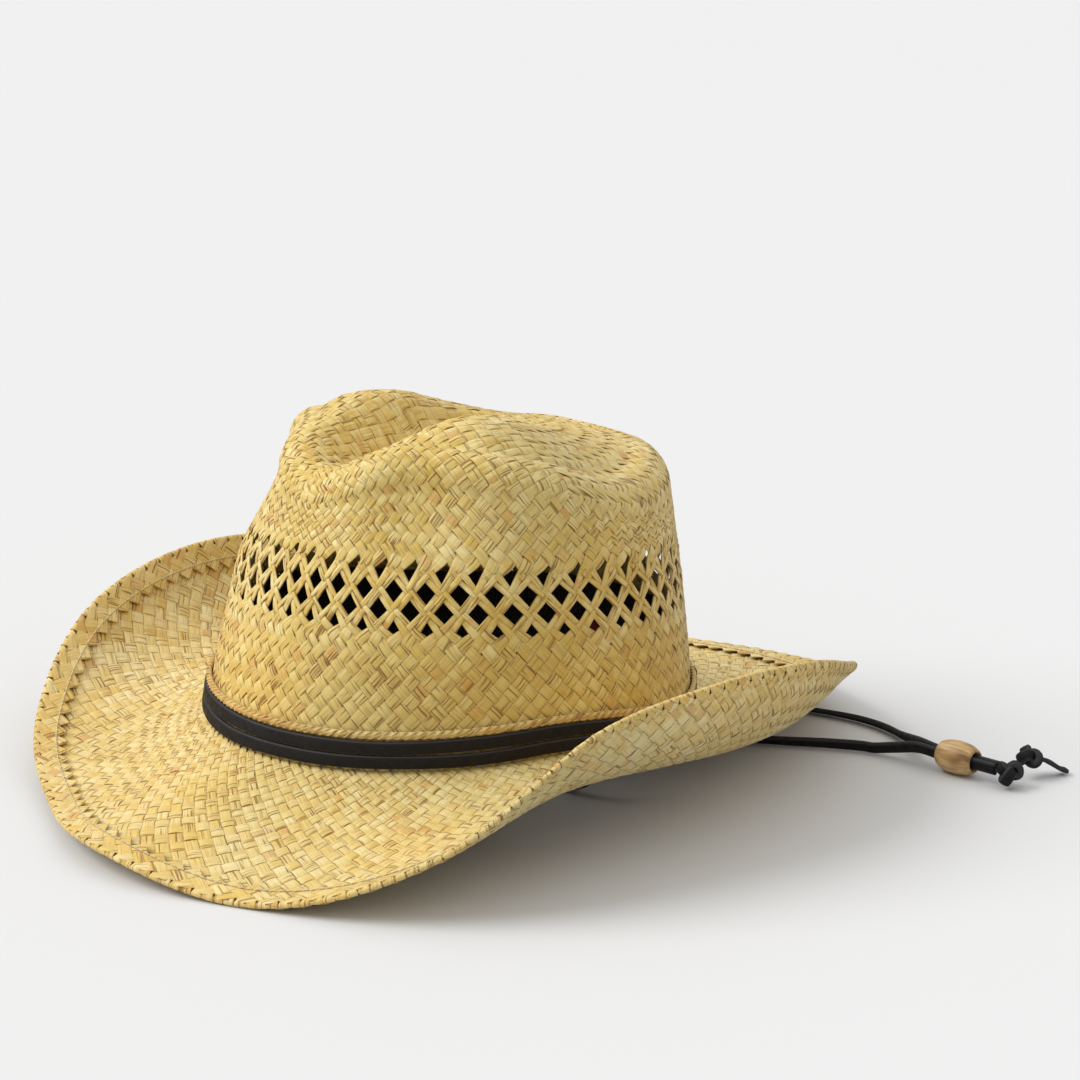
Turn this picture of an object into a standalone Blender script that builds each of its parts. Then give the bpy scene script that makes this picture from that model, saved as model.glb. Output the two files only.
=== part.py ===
"""Western straw hat with an openwork band, a two-lace hatband and a chin cord with a sliding bead.

Units are metres, +Z is up.  The front of the hat faces -Y and the wearer's left side is +X.
The hat stands on the ground plane Z = 0.  The woven body is shown in zones, as a hat maker
blocks it: tip, upper wall, openwork band, lower wall, brim and folded brim edge.
"""

import math

import bmesh
import bpy
import numpy as np

MM = 0.001

# Head oval at the foot of the crown, outside.
HEAD_HALF_WIDTH = 82.3 * MM
HEAD_HALF_LENGTH = 100.0 * MM
WEAVE_THICKNESS = 1.6 * MM
GAP = 0.3 * MM

# Crown.  Ridge heights are measured from the foot of the crown, at places along the hat's length.
RIDGE_PLACES = (-95 * MM, -72 * MM, -50 * MM, -20 * MM, 0.0, 20 * MM, 45 * MM, 70 * MM, 98 * MM)
RIDGE_HEIGHTS = (
    95.5 * MM, 104.5 * MM, 111.5 * MM, 116.5 * MM, 113.5 * MM, 106 * MM, 96.5 * MM, 89.5 * MM,
    81.5 * MM,
)
CROWN_CAMBER = 11.0          # height lost per metre squared, outside the flat of the ridge
CROWN_FLAT_HALF_WIDTH = 17 * MM
CREASE_DEPTH = 22 * MM
CREASE_HALF_WIDTH = 14 * MM
CREASE_FRONT = (-82 * MM, -30 * MM)
CREASE_BACK = (5 * MM, 50 * MM)
TAPER_FRONT = 26 * MM        # how far each wall leans in by the time it reaches the top
TAPER_SIDE = 15 * MM
TAPER_BACK = 7 * MM
TOP_ROUND_FRONT = 13 * MM
TOP_ROUND_BACK = 16 * MM
PINCH_DEPTH = 9 * MM
PINCH_DIRECTION = 48.0       # degrees from the front, on each side
PINCH_SPREAD = 20.0
PINCH_HEIGHTS = (55 * MM, 98 * MM)

# Openwork band in the crown wall.
VENT_HEIGHT_AT_MIDDLE = 49.6 * MM
VENT_FALL_TO_BACK = 0.118
VENT_FALL_TO_RIGHT = 0.029
VENT_HALF_HEIGHT = 14 * MM
VENT_COUNT = 42
VENT_WIDTH = 8.4 * MM
VENT_ROW_HEIGHTS = (-11 * MM, -4 * MM, 4 * MM, 11 * MM)
VENT_OPENING_HEIGHTS = (3.4 * MM, 6.6 * MM, 6.6 * MM, 3.4 * MM)

# The foot of the crown lies lower round the back than at the front.
FOOT_DROP = 16 * MM
FOOT_DROP_DIRECTIONS = (70.0, 135.0)     # degrees from the front, to both sides

# Brim: for each direction round the hat (degrees from the front, towards the wearer's left) the
# width of the flat brim, its mean slope, and the angle that it curls through from crown to edge.
BRIM_SECTIONS = (
    (0.0, 75.5 * MM, -14.0, 15.0),
    (22.5, 76.0 * MM, -20.0, 25.0),
    (45.0, 79.0 * MM, -3.0, 60.0),
    (67.5, 76.5 * MM, 27.0, 95.0),
    (90.0, 78.5 * MM, 33.0, 105.0),
    (112.5, 75.5 * MM, 26.0, 105.0),
    (135.0, 70.5 * MM, 8.0, 95.0),
    (157.5, 74.0 * MM, -12.5, 50.0),
    (180.0, 77.0 * MM, -21.5, 15.0),
    (202.5, 78.0 * MM, -23.5, 15.0),
    (225.0, 76.0 * MM, -15.0, 50.0),
    (247.5, 77.5 * MM, 11.0, 80.0),
    (270.0, 77.5 * MM, 22.0, 95.0),
    (292.5, 77.0 * MM, 15.0, 90.0),
    (315.0, 72.5 * MM, -8.5, 62.0),
    (337.5, 68.0 * MM, -18.0, 30.0),
)
BRIM_THICKNESS = 1.6 * MM
BRIM_START = 1.2 * MM          # the brim section begins this far outside the head oval
NOSE_DOWN = 1.1              # degrees: the hat rests on the front and the back of its brim

# Folded brim edge, with a wire in the fold and one row of stitching.
HEM_WIDTH = 11.5 * MM
HEM_THICKNESS = 1.2 * MM
HEM_GAP = 0.4 * MM
TURN_IN = 5.0 * MM             # how far the fold reaches back under the edge
WIRE_RADIUS = 0.45 * MM
STITCH_RADIUS = 0.45 * MM
STITCH_INSET = 9.0 * MM

# Twined row at the foot of the crown, and the hatband of two laces below it.
LACE_WIDTH = 4.8 * MM
LACE_THICKNESS = 1.8 * MM
LACE_FOOT = 1.6 * MM
TWINE_HEIGHT = 3.0 * MM
TWINE_THICKNESS = 1.5 * MM
KEEPER_DIRECTION = 150.0
KEEPER_LENGTH = 7.0 * MM
KEEPER_WALL = 1.2 * MM

# Sweatband inside the crown.
SWEATBAND_FOOT = 0.5 * MM
SWEATBAND_HEIGHT = 33 * MM
SWEATBAND_THICKNESS = 1.0 * MM
LABEL_DIRECTION = 192.0
LABEL_WIDTH = 22 * MM
LABEL_HEIGHT = 9 * MM
LABEL_THICKNESS = 0.5 * MM

# Chin cord: two flat laces, drawn as round cords of about the same section, and the wooden bead.
CORD_RADIUS = 1.5 * MM
BEAD_LENGTH = 16 * MM
BEAD_RADIUS = 6.4 * MM
BEAD_END_RADIUS = 4.3 * MM
BEAD_BORE_RADIUS = 3.6 * MM
BEAD_CENTRE = (143.0 * MM, 129.8 * MM, 6.7 * MM)
BEAD_TURN = 5.0              # degrees of the bead's axis from +X
CORD_PITCH = 3.3 * MM        # distance between the two cords inside the bead
KNOT_RADIUS = 6.3 * MM
KNOT_DISTANCE = 22.5 * MM    # from the middle of the bead to the first knot

# Places that each cord passes, from the sweatband to the bead, in millimetres from the middle of
# the head oval, with the height above the ground. The first places are given by their distance
# in from the side of the head oval, so the cord always starts at the sweatband.
LEFT_CORD_START = ((5.8, 4.0, 30.0), (7.3, 4.5, 24.0), (11.3, 5.0, 13.0), (18.3, 6.0, 5.0))
LEFT_CORD_ROUTE = (
    (53.0, 8.0, 1.7), (40.0, 12.5, 1.7), (28.0, 21.0, 1.7), (21.0, 34.0, 1.7), (22.0, 50.0, 1.7),
    (31.0, 65.0, 1.7), (45.0, 79.0, 1.7), (59.0, 90.0, 1.7), (72.0, 99.5, 1.7),
    (83.0, 107.5, 1.7), (94.0, 115.5, 1.7), (105.0, 122.0, 2.3), (116.0, 126.0, 4.5),
    (126.0, 127.0, 6.9),
)
RIGHT_CORD_START = ((5.8, 4.0, 30.0), (7.3, 5.0, 24.0), (11.8, 8.0, 13.0), (19.3, 13.0, 5.0))
RIGHT_CORD_ROUTE = (
    (-54.0, 22.0, 1.7), (-44.0, 36.0, 1.7), (-34.0, 54.0, 1.7), (-21.0, 74.0, 1.7),
    (-6.0, 94.0, 1.7), (12.0, 112.0, 1.7), (32.0, 127.0, 1.7), (52.0, 138.0, 1.7),
    (68.0, 143.5, 1.7), (82.0, 146.0, 1.7), (96.0, 145.0, 1.9), (108.0, 141.0, 3.0),
    (119.0, 135.5, 5.4), (126.5, 131.2, 7.2),
)

ROUND = 60                   # facets round the crown
BRIM_ROUND = 84              # facets round the brim


def clear_scene():
    for old in list(bpy.data.objects):
        bpy.data.objects.remove(old, do_unlink=True)


def finish_of(name, colour, roughness, metallic=0.0):
    material = bpy.data.materials.new(name)
    material.use_nodes = True
    shader = material.node_tree.nodes["Principled BSDF"]
    shader.inputs["Base Color"].default_value = (*colour, 1.0)
    shader.inputs["Roughness"].default_value = roughness
    shader.inputs["Metallic"].default_value = metallic
    return material


def ease(value, start, end):
    part = np.clip((value - start) / (end - start), 0.0, 1.0)
    return part * part * (3.0 - 2.0 * part)


def through(places, heights, at):
    """A smooth curve through the given points (cubic Hermite, slopes from the neighbours)."""
    places = np.asarray(places)
    heights = np.asarray(heights)
    slopes = np.gradient(heights, places)
    at = np.clip(at, places[0], places[-1])
    left = np.clip(np.searchsorted(places, at, side="right") - 1, 0, len(places) - 2)
    step = places[left + 1] - places[left]
    t = (at - places[left]) / step
    return (
        heights[left] * (1 + 2 * t) * (1 - t) ** 2
        + slopes[left] * step * t * (1 - t) ** 2
        + heights[left + 1] * t * t * (3 - 2 * t)
        + slopes[left + 1] * step * t * t * (t - 1)
    )


def round_the_hat(column, angle):
    """One column of BRIM_SECTIONS, read at any angle (radians) as a smooth closed curve."""
    turn = np.degrees(angle) % 360.0
    rows = BRIM_SECTIONS[-3:] + BRIM_SECTIONS + BRIM_SECTIONS[:3]
    places = [row[0] for row in rows]
    places = [p - 360.0 for p in places[:3]] + places[3:-3] + [p + 360.0 for p in places[-3:]]
    return through(places, [row[column] for row in rows], turn)


def head_oval(angle):
    """Point on the outside of the crown's foot, and the direction straight out from it."""
    spot = np.stack([HEAD_HALF_WIDTH * np.sin(angle), -HEAD_HALF_LENGTH * np.cos(angle)], -1)
    out = np.stack([np.sin(angle) / HEAD_HALF_WIDTH, -np.cos(angle) / HEAD_HALF_LENGTH], -1)
    return spot, out / np.linalg.norm(out, axis=-1, keepdims=True)


def top_height(x, y):
    ridge = through(RIDGE_PLACES, RIDGE_HEIGHTS, y)
    depth = CREASE_DEPTH * ease(y, *CREASE_FRONT) * (1.0 - ease(y, *CREASE_BACK))
    crease = depth * np.exp(-((x / CREASE_HALF_WIDTH) ** 2))
    beyond = np.maximum(np.abs(x) - CROWN_FLAT_HALF_WIDTH, 0.0)
    return ridge - crease - CROWN_CAMBER * beyond ** 2


def crown_rim(angle):
    """Lean, rounding radius, pinch and top height of the crown in each direction."""
    front = (1.0 + np.cos(angle)) / 2.0
    lean = TAPER_FRONT * front ** 1.5 + TAPER_BACK * (1.0 - front) ** 1.5
    lean = lean + (TAPER_SIDE - 0.354 * (TAPER_FRONT + TAPER_BACK)) * np.sin(angle) ** 2
    radius = TOP_ROUND_BACK + (TOP_ROUND_FRONT - TOP_ROUND_BACK) * front
    degrees = (np.degrees(angle) + 180.0) % 360.0 - 180.0
    pinch = PINCH_DEPTH * np.exp(-(((np.abs(degrees) - PINCH_DIRECTION) / PINCH_SPREAD) ** 2))
    spot, out = head_oval(angle)
    inner = spot - out * (lean + radius)[..., None]
    return lean, radius, pinch, top_height(inner[..., 0], inner[..., 1])


def wall_top(angle):
    lean, radius, pinch, top = crown_rim(angle)
    return top - radius


def crown_wall(angle, height):
    """Outside of the crown wall at a height above its foot."""
    lean, radius, pinch, top = crown_rim(angle)
    part = np.clip(height / (top - radius), 0.0, 1.0)
    inset = lean * part ** 1.25 + pinch * ease(height, *PINCH_HEIGHTS)
    spot, out = head_oval(angle)
    flat = spot - out * inset[..., None]
    return np.concatenate([flat, np.broadcast_to(height, angle.shape)[..., None]], -1)


def crown_top(angle, part):
    """Outside of the tip: part 0 to 1 rounds the rim over, 1 to 2 runs in to the middle."""
    lean, radius, pinch, top = crown_rim(angle)
    spot, out = head_oval(angle)
    over = np.clip(part, 0.0, 1.0) * math.pi / 2
    inset = lean + pinch * ease(top - radius, *PINCH_HEIGHTS) * (1.0 - 0.3 * np.clip(part, 0, 1))
    inset = inset + radius * (1.0 - np.cos(over))
    rim = spot - out * inset[..., None]
    rim_height = top - radius + radius * np.sin(over)
    keep = np.clip(2.0 - part, 0.0, 1.0)
    flat = rim * keep[..., None]
    sheet = top_height(flat[..., 0], flat[..., 1])
    step = rim_height - top_height(rim[..., 0], rim[..., 1])
    height = np.where(part <= 1.0, rim_height, sheet + step * ease(keep, 0.8, 1.0))
    return np.concatenate([flat, height[..., None]], -1)


def vent_middle(angle):
    fall_to_back = VENT_FALL_TO_BACK * HEAD_HALF_LENGTH * np.cos(angle)
    fall_to_right = VENT_FALL_TO_RIGHT * HEAD_HALF_WIDTH * np.sin(angle)
    return VENT_HEIGHT_AT_MIDDLE + fall_to_back + fall_to_right


def foot_drop(angle):
    degrees = np.abs((np.degrees(angle) + 180.0) % 360.0 - 180.0)
    return FOOT_DROP * ease(degrees, *FOOT_DROP_DIRECTIONS)


def brim_point(angle, distance, above=0.0):
    """Point on the brim: distance out along its section, and height above its middle surface."""
    width = round_the_hat(1, angle)
    slope = np.radians(round_the_hat(2, angle))
    curl = np.radians(round_the_hat(3, angle))
    start = slope - curl / 2
    now = start + curl * distance / width
    reach = width / curl * (np.sin(now) - np.sin(start)) - above * np.sin(now)
    rise = width / curl * (np.cos(start) - np.cos(now)) + above * np.cos(now)
    rise = rise - foot_drop(angle) * (1.0 - distance / width)
    spot, out = head_oval(angle)
    flat = spot + out * reach[..., None]
    return np.concatenate([flat, rise[..., None]], -1)


def angles(count=ROUND, phase=0.0):
    return (np.arange(count) + phase) * 2.0 * math.pi / count


def surface_normals(grid):
    """Outward normals of a closed-round grid, rows from the foot up."""
    along = np.roll(grid, -1, 1) - np.roll(grid, 1, 1)
    up = np.gradient(grid, axis=0)
    normal = np.cross(along, up)
    length = np.linalg.norm(normal, axis=-1, keepdims=True)
    return normal / np.maximum(length, 1e-12)


class Body:
    """Gathers the vertices and faces of one solid."""

    def __init__(self):
        self.points = []
        self.faces = []

    def add(self, rows):
        start = len(self.points)
        self.points.extend(np.asarray(rows).reshape(-1, 3))
        return start

    def ring_bands(self, first, count, rings, closed=False, flip=False):
        """Faces between successive rings of vertices; closed joins the last ring to the first."""
        for i in range(rings if closed else rings - 1):
            a = first + i * count
            b = first + ((i + 1) % rings) * count
            for j in range(count):
                k = (j + 1) % count
                face = (a + j, a + k, b + k, b + j)
                self.faces.append(face[::-1] if flip else face)

    def make(self, name, material, place=True, smooth=True):
        points = np.asarray(self.points)
        if place:
            points = stand(points)
        mesh = bpy.data.meshes.new(name)
        mesh.from_pydata([tuple(p) for p in points], [], self.faces)
        work = bmesh.new()
        work.from_mesh(mesh)
        bmesh.ops.recalc_face_normals(work, faces=work.faces)
        work.to_mesh(mesh)
        work.free()
        for face in mesh.polygons:
            face.use_smooth = smooth
        mesh.materials.append(material)
        obj = bpy.data.objects.new(name, mesh)
        bpy.context.scene.collection.objects.link(obj)
        return obj


SEAT = {"shift": np.zeros(3)}


def tilt(points):
    turn = math.radians(NOSE_DOWN)
    x, y, z = points[..., 0], points[..., 1], points[..., 2]
    return np.stack(
        [x, y * math.cos(turn) - z * math.sin(turn), z * math.cos(turn) + y * math.sin(turn)], -1
    )


def stand(points):
    """Turns the hat slightly nose down and sets it on the ground, centred on the origin."""
    return tilt(np.asarray(points)) + SEAT["shift"]


def on_ground(point):
    """A place given from the middle of the head oval, with its height above the ground."""
    return np.asarray(point) + SEAT["shift"] * (1.0, 1.0, 0.0)


def find_seat():
    """The brim edge gives the hat's length, width and lowest point."""
    edge = np.concatenate(hem_section(angles(BRIM_ROUND)))
    low = tilt(edge).min(0)
    high = tilt(edge).max(0)
    SEAT["shift"] = np.array([-(low[0] + high[0]) / 2, -(low[1] + high[1]) / 2, -low[2]])
    print("head oval stands at", SEAT["shift"].round(5), "hat is", (high - low).round(5))


def shell(name, outer, material, thickness=WEAVE_THICKNESS):
    """A wall open at the foot and the top, from its outside grid."""
    inner = outer - surface_normals(outer) * thickness
    body = Body()
    count = outer.shape[1]
    loop = np.concatenate([outer, inner[::-1]])
    first = body.add(loop)
    body.ring_bands(first, count, len(loop), closed=True)
    return body.make(name, material)


def ring(name, section, material):
    """A closed ring from a closed section: section[i] is the ring of points at corner i."""
    body = Body()
    loop = np.asarray(section)
    first = body.add(loop)
    body.ring_bands(first, loop.shape[1], len(loop), closed=True)
    return body.make(name, material)


def lower_wall(material):
    turn = angles()
    foot = -0.8 * MM - foot_drop(turn)
    top = vent_middle(turn) - VENT_HALF_HEIGHT - GAP / 2
    rows = [crown_wall(turn, foot + (top - foot) * k / 2) for k in range(3)]
    return shell("crown_wall_lower", np.array(rows), material)


def upper_wall(material):
    turn = angles()
    foot = vent_middle(turn) + VENT_HALF_HEIGHT + GAP / 2
    top = wall_top(turn) - GAP / 2
    rows = [crown_wall(turn, foot + (top - foot) * k / 3) for k in range(4)]
    return shell("crown_wall_upper", np.array(rows), material)


def tip(material):
    turn = angles()
    steps = [0.01, 0.35, 0.7, 1.0, 1.15, 1.35, 1.55, 1.75, 1.92]
    outer = np.array([crown_top(turn, np.full(turn.shape, s)) for s in steps])
    outer[0, :, 2] += GAP / 2
    inner = outer - surface_normals(outer) * WEAVE_THICKNESS
    body = Body()
    count = len(turn)
    middle = np.array([0.0, 0.0, float(top_height(np.zeros(1), np.zeros(1))[0])])
    loop = np.concatenate([inner[::-1], outer])
    first = body.add(loop)
    body.ring_bands(first, count, len(loop))
    under = body.add([middle - (0, 0, WEAVE_THICKNESS)])
    over = body.add([middle])
    last = first + (len(loop) - 1) * count
    for j in range(count):
        k = (j + 1) % count
        body.faces.append((first + k, first + j, under))
        body.faces.append((last + j, last + k, over))
    return body.make("crown_tip", material)


def vent_band(material):
    """Wall of the openwork band: two full rows of six-sided vents between two smaller rows."""
    body = Body()
    pitch = 2.0 * math.pi / VENT_COUNT
    rows = [-VENT_HALF_HEIGHT, -7.5 * MM, 0.0, 7.5 * MM, VENT_HALF_HEIGHT]

    def place(turn, height, inside):
        turn = np.array([turn])
        level = np.array([height]) + vent_middle(turn)
        spot = crown_wall(turn, level)
        if inside:
            step = 0.01
            side = crown_wall(turn + step, level) - crown_wall(turn - step, level)
            up = crown_wall(turn, level + MM) - crown_wall(turn, level - MM)
            normal = np.cross(side, up)
            spot = spot - normal / np.linalg.norm(normal) * WEAVE_THICKNESS
        return spot[0]

    grid = {}

    def corner(step, level, inside):
        key = (step % (2 * VENT_COUNT), level, inside)
        if key not in grid:
            grid[key] = body.add([place(key[0] * pitch / 2, level, inside)])
        return grid[key]

    for row in range(4):
        shift = row % 2
        low, high = rows[row], rows[row + 1]
        middle = VENT_ROW_HEIGHTS[row]
        half = VENT_OPENING_HEIGHTS[row] / 2
        width = VENT_WIDTH if half > 2 * MM else 0.62 * VENT_WIDTH
        for cell in range(VENT_COUNT):
            first = 2 * cell + shift
            centre = (first + 1) * pitch / 2
            reach = width / 2 / HEAD_HALF_LENGTH
            outline = [
                (-reach, 0.0), (-reach * 0.45, -half), (reach * 0.45, -half),
                (reach, 0.0), (reach * 0.45, half), (-reach * 0.45, half),
            ]
            holes = {}
            for inside in (False, True):
                hole = body.add([place(centre + a, middle + h, inside) for a, h in outline])
                holes[inside] = hole
                frame = [
                    corner(first, low, inside), corner(first + 1, low, inside),
                    corner(first + 2, low, inside), corner(first + 2, high, inside),
                    corner(first + 1, high, inside), corner(first, high, inside),
                ]
                quads = [
                    (frame[0], frame[1], hole + 1), (frame[1], frame[2], hole + 2),
                    (frame[1], hole + 2, hole + 1),
                    (frame[2], frame[3], hole + 3), (frame[2], hole + 3, hole + 2),
                    (frame[3], frame[4], hole + 4), (frame[3], hole + 4, hole + 3),
                    (frame[4], frame[5], hole + 5), (frame[4], hole + 5, hole + 4),
                    (frame[5], frame[0], hole), (frame[5], hole, hole + 5),
                    (frame[0], hole + 1, hole),
                ]
                body.faces.extend(q[::-1] if inside else q for q in quads)
            for side in range(6):
                after = (side + 1) % 6
                body.faces.append(
                    (holes[False] + side, holes[False] + after,
                     holes[True] + after, holes[True] + side)
                )
    for step in range(2 * VENT_COUNT):
        for level, order in ((rows[0], 1), (rows[-1], -1)):
            face = (
                corner(step, level, False), corner(step, level, True),
                corner(step + 1, level, True), corner(step + 1, level, False),
            )
            body.faces.append(face[::order])
    return body.make("vent_band", material, smooth=False)


def brim(material):
    turn = angles(BRIM_ROUND)
    width = round_the_hat(1, turn)
    inner = BRIM_START
    fold = width - HEM_WIDTH
    outer = width - TURN_IN - 0.4 * MM
    steps = [inner + (fold - inner) * k / 7 for k in range(8)]
    steps.append(outer)
    half = BRIM_THICKNESS / 2
    upper = [brim_point(turn, d, half) for d in steps]
    lower = [brim_point(turn, d, -half) for d in steps]
    return ring("brim", upper + lower[::-1], material)


def hem_section(turn):
    """The folded edge: a long leg above the brim, round the wire, and a short leg below."""
    edge = round_the_hat(1, turn)
    half = BRIM_THICKNESS / 2
    under = half + HEM_GAP
    over = under + HEM_THICKNESS
    short_leg = edge - TURN_IN
    bend = edge - 1.5 * MM
    return [
        brim_point(turn, edge - HEM_WIDTH, over),
        brim_point(turn, short_leg, over),
        brim_point(turn, bend, over),
        brim_point(turn, edge - 0.3 * MM, over * 0.55),
        brim_point(turn, edge - 0.3 * MM, -half * 0.6),
        brim_point(turn, bend, -half - 0.1 * MM),
        brim_point(turn, short_leg, -half - 0.1 * MM),
        brim_point(turn, short_leg, -half + 0.6 * MM),
        brim_point(turn, bend, -half + 0.6 * MM),
        brim_point(turn, bend, under),
        brim_point(turn, short_leg, under),
        brim_point(turn, edge - HEM_WIDTH, under),
    ]


def brim_hem(material):
    return ring("brim_hem", hem_section(angles(BRIM_ROUND)), material)


def tube_ring(name, centre, radius, material, sides=6):
    """A thin closed ring of round section about a closed line."""
    along = np.roll(centre, -1, 0) - np.roll(centre, 1, 0)
    along /= np.linalg.norm(along, axis=1, keepdims=True)
    up = np.array([0.0, 0.0, 1.0])
    side = np.cross(along, up)
    side /= np.linalg.norm(side, axis=1, keepdims=True)
    upright = np.cross(side, along)
    section = []
    for k in range(sides):
        a = 2.0 * math.pi * k / sides
        section.append(centre + radius * (side * math.cos(a) + upright * math.sin(a)))
    return ring(name, section, material)


def brim_wire(material):
    """Spring wire that lies inside the fold, close to the edge."""
    turn = angles(BRIM_ROUND)
    edge = round_the_hat(1, turn)
    half = BRIM_THICKNESS / 2
    level = (half + HEM_GAP - half + 0.6 * MM) / 2
    line = brim_point(turn, edge - TURN_IN / 2 - 0.5 * MM, level)
    return tube_ring("brim_wire", line, WIRE_RADIUS, material, sides=4)


def hem_stitching(material):
    turn = angles(BRIM_ROUND)
    edge = round_the_hat(1, turn)
    above = BRIM_THICKNESS / 2 + HEM_GAP + HEM_THICKNESS + HEM_GAP + STITCH_RADIUS
    line = brim_point(turn, edge - STITCH_INSET, above)
    return tube_ring("hem_stitching", line, STITCH_RADIUS, material, sides=3)


def band_section(turn, low, high, near, far, chamfer=0.25):
    """Section of a band that lies round the crown wall, near and far from its surface."""
    spots = []
    spot, out = head_oval(turn)
    thick = far - near
    cut = chamfer * thick
    for level, away in (
        (low, near), (low, far - cut), (low + cut, far),
        (high - cut, far), (high, far - cut), (high, near),
    ):
        wall = crown_wall(turn, level - foot_drop(turn))
        wall[..., :2] += out * away
        spots.append(wall)
    return spots


def wall_bands(lace_material, straw_material):
    turn = angles()
    step = LACE_WIDTH + 0.5 * MM
    near = GAP + 0.1 * MM
    ring(
        "hatband_lace_lower",
        band_section(turn, LACE_FOOT, LACE_FOOT + LACE_WIDTH, near, near + LACE_THICKNESS),
        lace_material,
    )
    ring(
        "hatband_lace_upper",
        band_section(turn, LACE_FOOT + step, LACE_FOOT + step + LACE_WIDTH, near,
                     near + LACE_THICKNESS),
        lace_material,
    )
    foot = LACE_FOOT + step + LACE_WIDTH + 0.4 * MM
    ring(
        "base_twining",
        band_section(turn, foot, foot + TWINE_HEIGHT, near, near + TWINE_THICKNESS, 0.4),
        straw_material,
    )


def keeper(material):
    """A short leather loop round both laces, which hides where their ends meet."""
    turn = math.radians(KEEPER_DIRECTION)
    reach = KEEPER_LENGTH / 2 / HEAD_HALF_LENGTH
    step = LACE_WIDTH + 0.5 * MM
    low = LACE_FOOT - GAP
    high = LACE_FOOT + step + LACE_WIDTH + GAP - 0.1 * MM
    near = GAP + 0.1 * MM + LACE_THICKNESS + GAP
    body = Body()
    rows = []
    for k in range(5):
        here = np.array([turn + reach * (k / 2 - 1)])
        section = band_section(here, low + 0.2 * MM, high, near, near + KEEPER_WALL, 0.45)
        rows.append(np.array([s[0] for s in section]))
    first = body.add(np.array(rows))
    for i in range(4):
        for j in range(6):
            k = (j + 1) % 6
            a = first + i * 6
            b = a + 6
            body.faces.append((a + j, a + k, b + k, b + j))
    body.faces.append(tuple(first + j for j in range(6)))
    body.faces.append(tuple(first + 24 + j for j in reversed(range(6))))
    body.make("hatband_keeper", material)


def sweatband(material, thread, label_material):
    turn = angles()
    near = -(WEAVE_THICKNESS + 2 * GAP)
    top = SWEATBAND_FOOT + SWEATBAND_HEIGHT
    levels = [SWEATBAND_FOOT, top]
    rows = []
    spot, out = head_oval(turn)
    for level in np.linspace(levels[0], levels[1], 3):
        wall = crown_wall(turn, level - foot_drop(turn))
        wall[..., :2] += out * near
        rows.append(wall)
    shell("sweatband", np.array(rows), material, SWEATBAND_THICKNESS)
    line = crown_wall(turn, top - 4 * MM - foot_drop(turn))
    line[..., :2] += out * (near - SWEATBAND_THICKNESS - GAP - STITCH_RADIUS)
    tube_ring("sweatband_stitching", line, STITCH_RADIUS, thread, sides=3)
    low = SWEATBAND_FOOT + 6 * MM
    reach = LABEL_WIDTH / 2 / HEAD_HALF_LENGTH
    body = Body()
    rows = []
    deep = near - SWEATBAND_THICKNESS - GAP
    for k in range(7):
        here = np.array([math.radians(LABEL_DIRECTION) + reach * (k / 3 - 1)])
        spot, out = head_oval(here)
        section = []
        for level, away in (
            (low, deep), (low + LABEL_HEIGHT, deep),
            (low + LABEL_HEIGHT, deep - LABEL_THICKNESS), (low, deep - LABEL_THICKNESS),
        ):
            wall = crown_wall(here, level - foot_drop(here))
            wall[..., :2] += out * away
            section.append(wall[0])
        rows.append(np.array(section))
    first = body.add(np.array(rows))
    for i in range(6):
        for j in range(4):
            k = (j + 1) % 4
            a = first + i * 4
            body.faces.append((a + j, a + k, a + 4 + k, a + 4 + j))
    body.faces.append(tuple(first + j for j in range(4)))
    body.faces.append(tuple(first + 24 + j for j in reversed(range(4))))
    body.make("size_label", label_material, smooth=False)


def bead_axis():
    turn = math.radians(BEAD_TURN)
    return np.array([math.cos(turn), math.sin(turn), 0.0])


def smooth_route(points, count):
    """Evenly spaced points on one smooth curve through the route."""
    points = np.asarray(points)
    steps = np.linalg.norm(np.diff(points, axis=0), axis=1)
    along = np.concatenate([[0.0], np.cumsum(steps)])
    fine = np.linspace(0.0, along[-1], 600)
    curve = np.stack([through(along, points[:, k], fine) for k in range(3)], -1)
    steps = np.linalg.norm(np.diff(curve, axis=0), axis=1)
    length = np.concatenate([[0.0], np.cumsum(steps)])
    even = np.linspace(0.0, length[-1], count)
    return np.stack([np.interp(even, length, curve[:, k]) for k in range(3)], -1)


def chin_cord(name, start, route, side, material):
    """Cord from the sweatband, over the ground, through the bead and into the first knot."""
    axis = bead_axis()
    across = np.array([-axis[1], axis[0], 0.0])
    centre = np.array(BEAD_CENTRE)
    offset = across * side * CORD_PITCH / 2
    last = KNOT_DISTANCE - KNOT_RADIUS - 2 * GAP
    run = [centre + offset + axis * d for d in (-8 * MM, 0.0, 8 * MM, last)]
    led = [(-side * (HEAD_HALF_WIDTH / MM - inset), y, z) for inset, y, z in start]
    points = [np.array(p) * MM for p in (*led, *route)] + run
    points = on_ground(smooth_route(points, 60))
    data = bpy.data.curves.new(name, "CURVE")
    data.dimensions = "3D"
    data.bevel_depth = CORD_RADIUS
    data.bevel_resolution = 2
    data.use_fill_caps = True
    spline = data.splines.new("POLY")
    spline.points.add(len(points) - 1)
    for spot, target in zip(points, spline.points):
        target.co = (*spot, 1.0)
    data.materials.append(material)
    obj = bpy.data.objects.new(name, data)
    bpy.context.scene.collection.objects.link(obj)
    return obj


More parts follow.
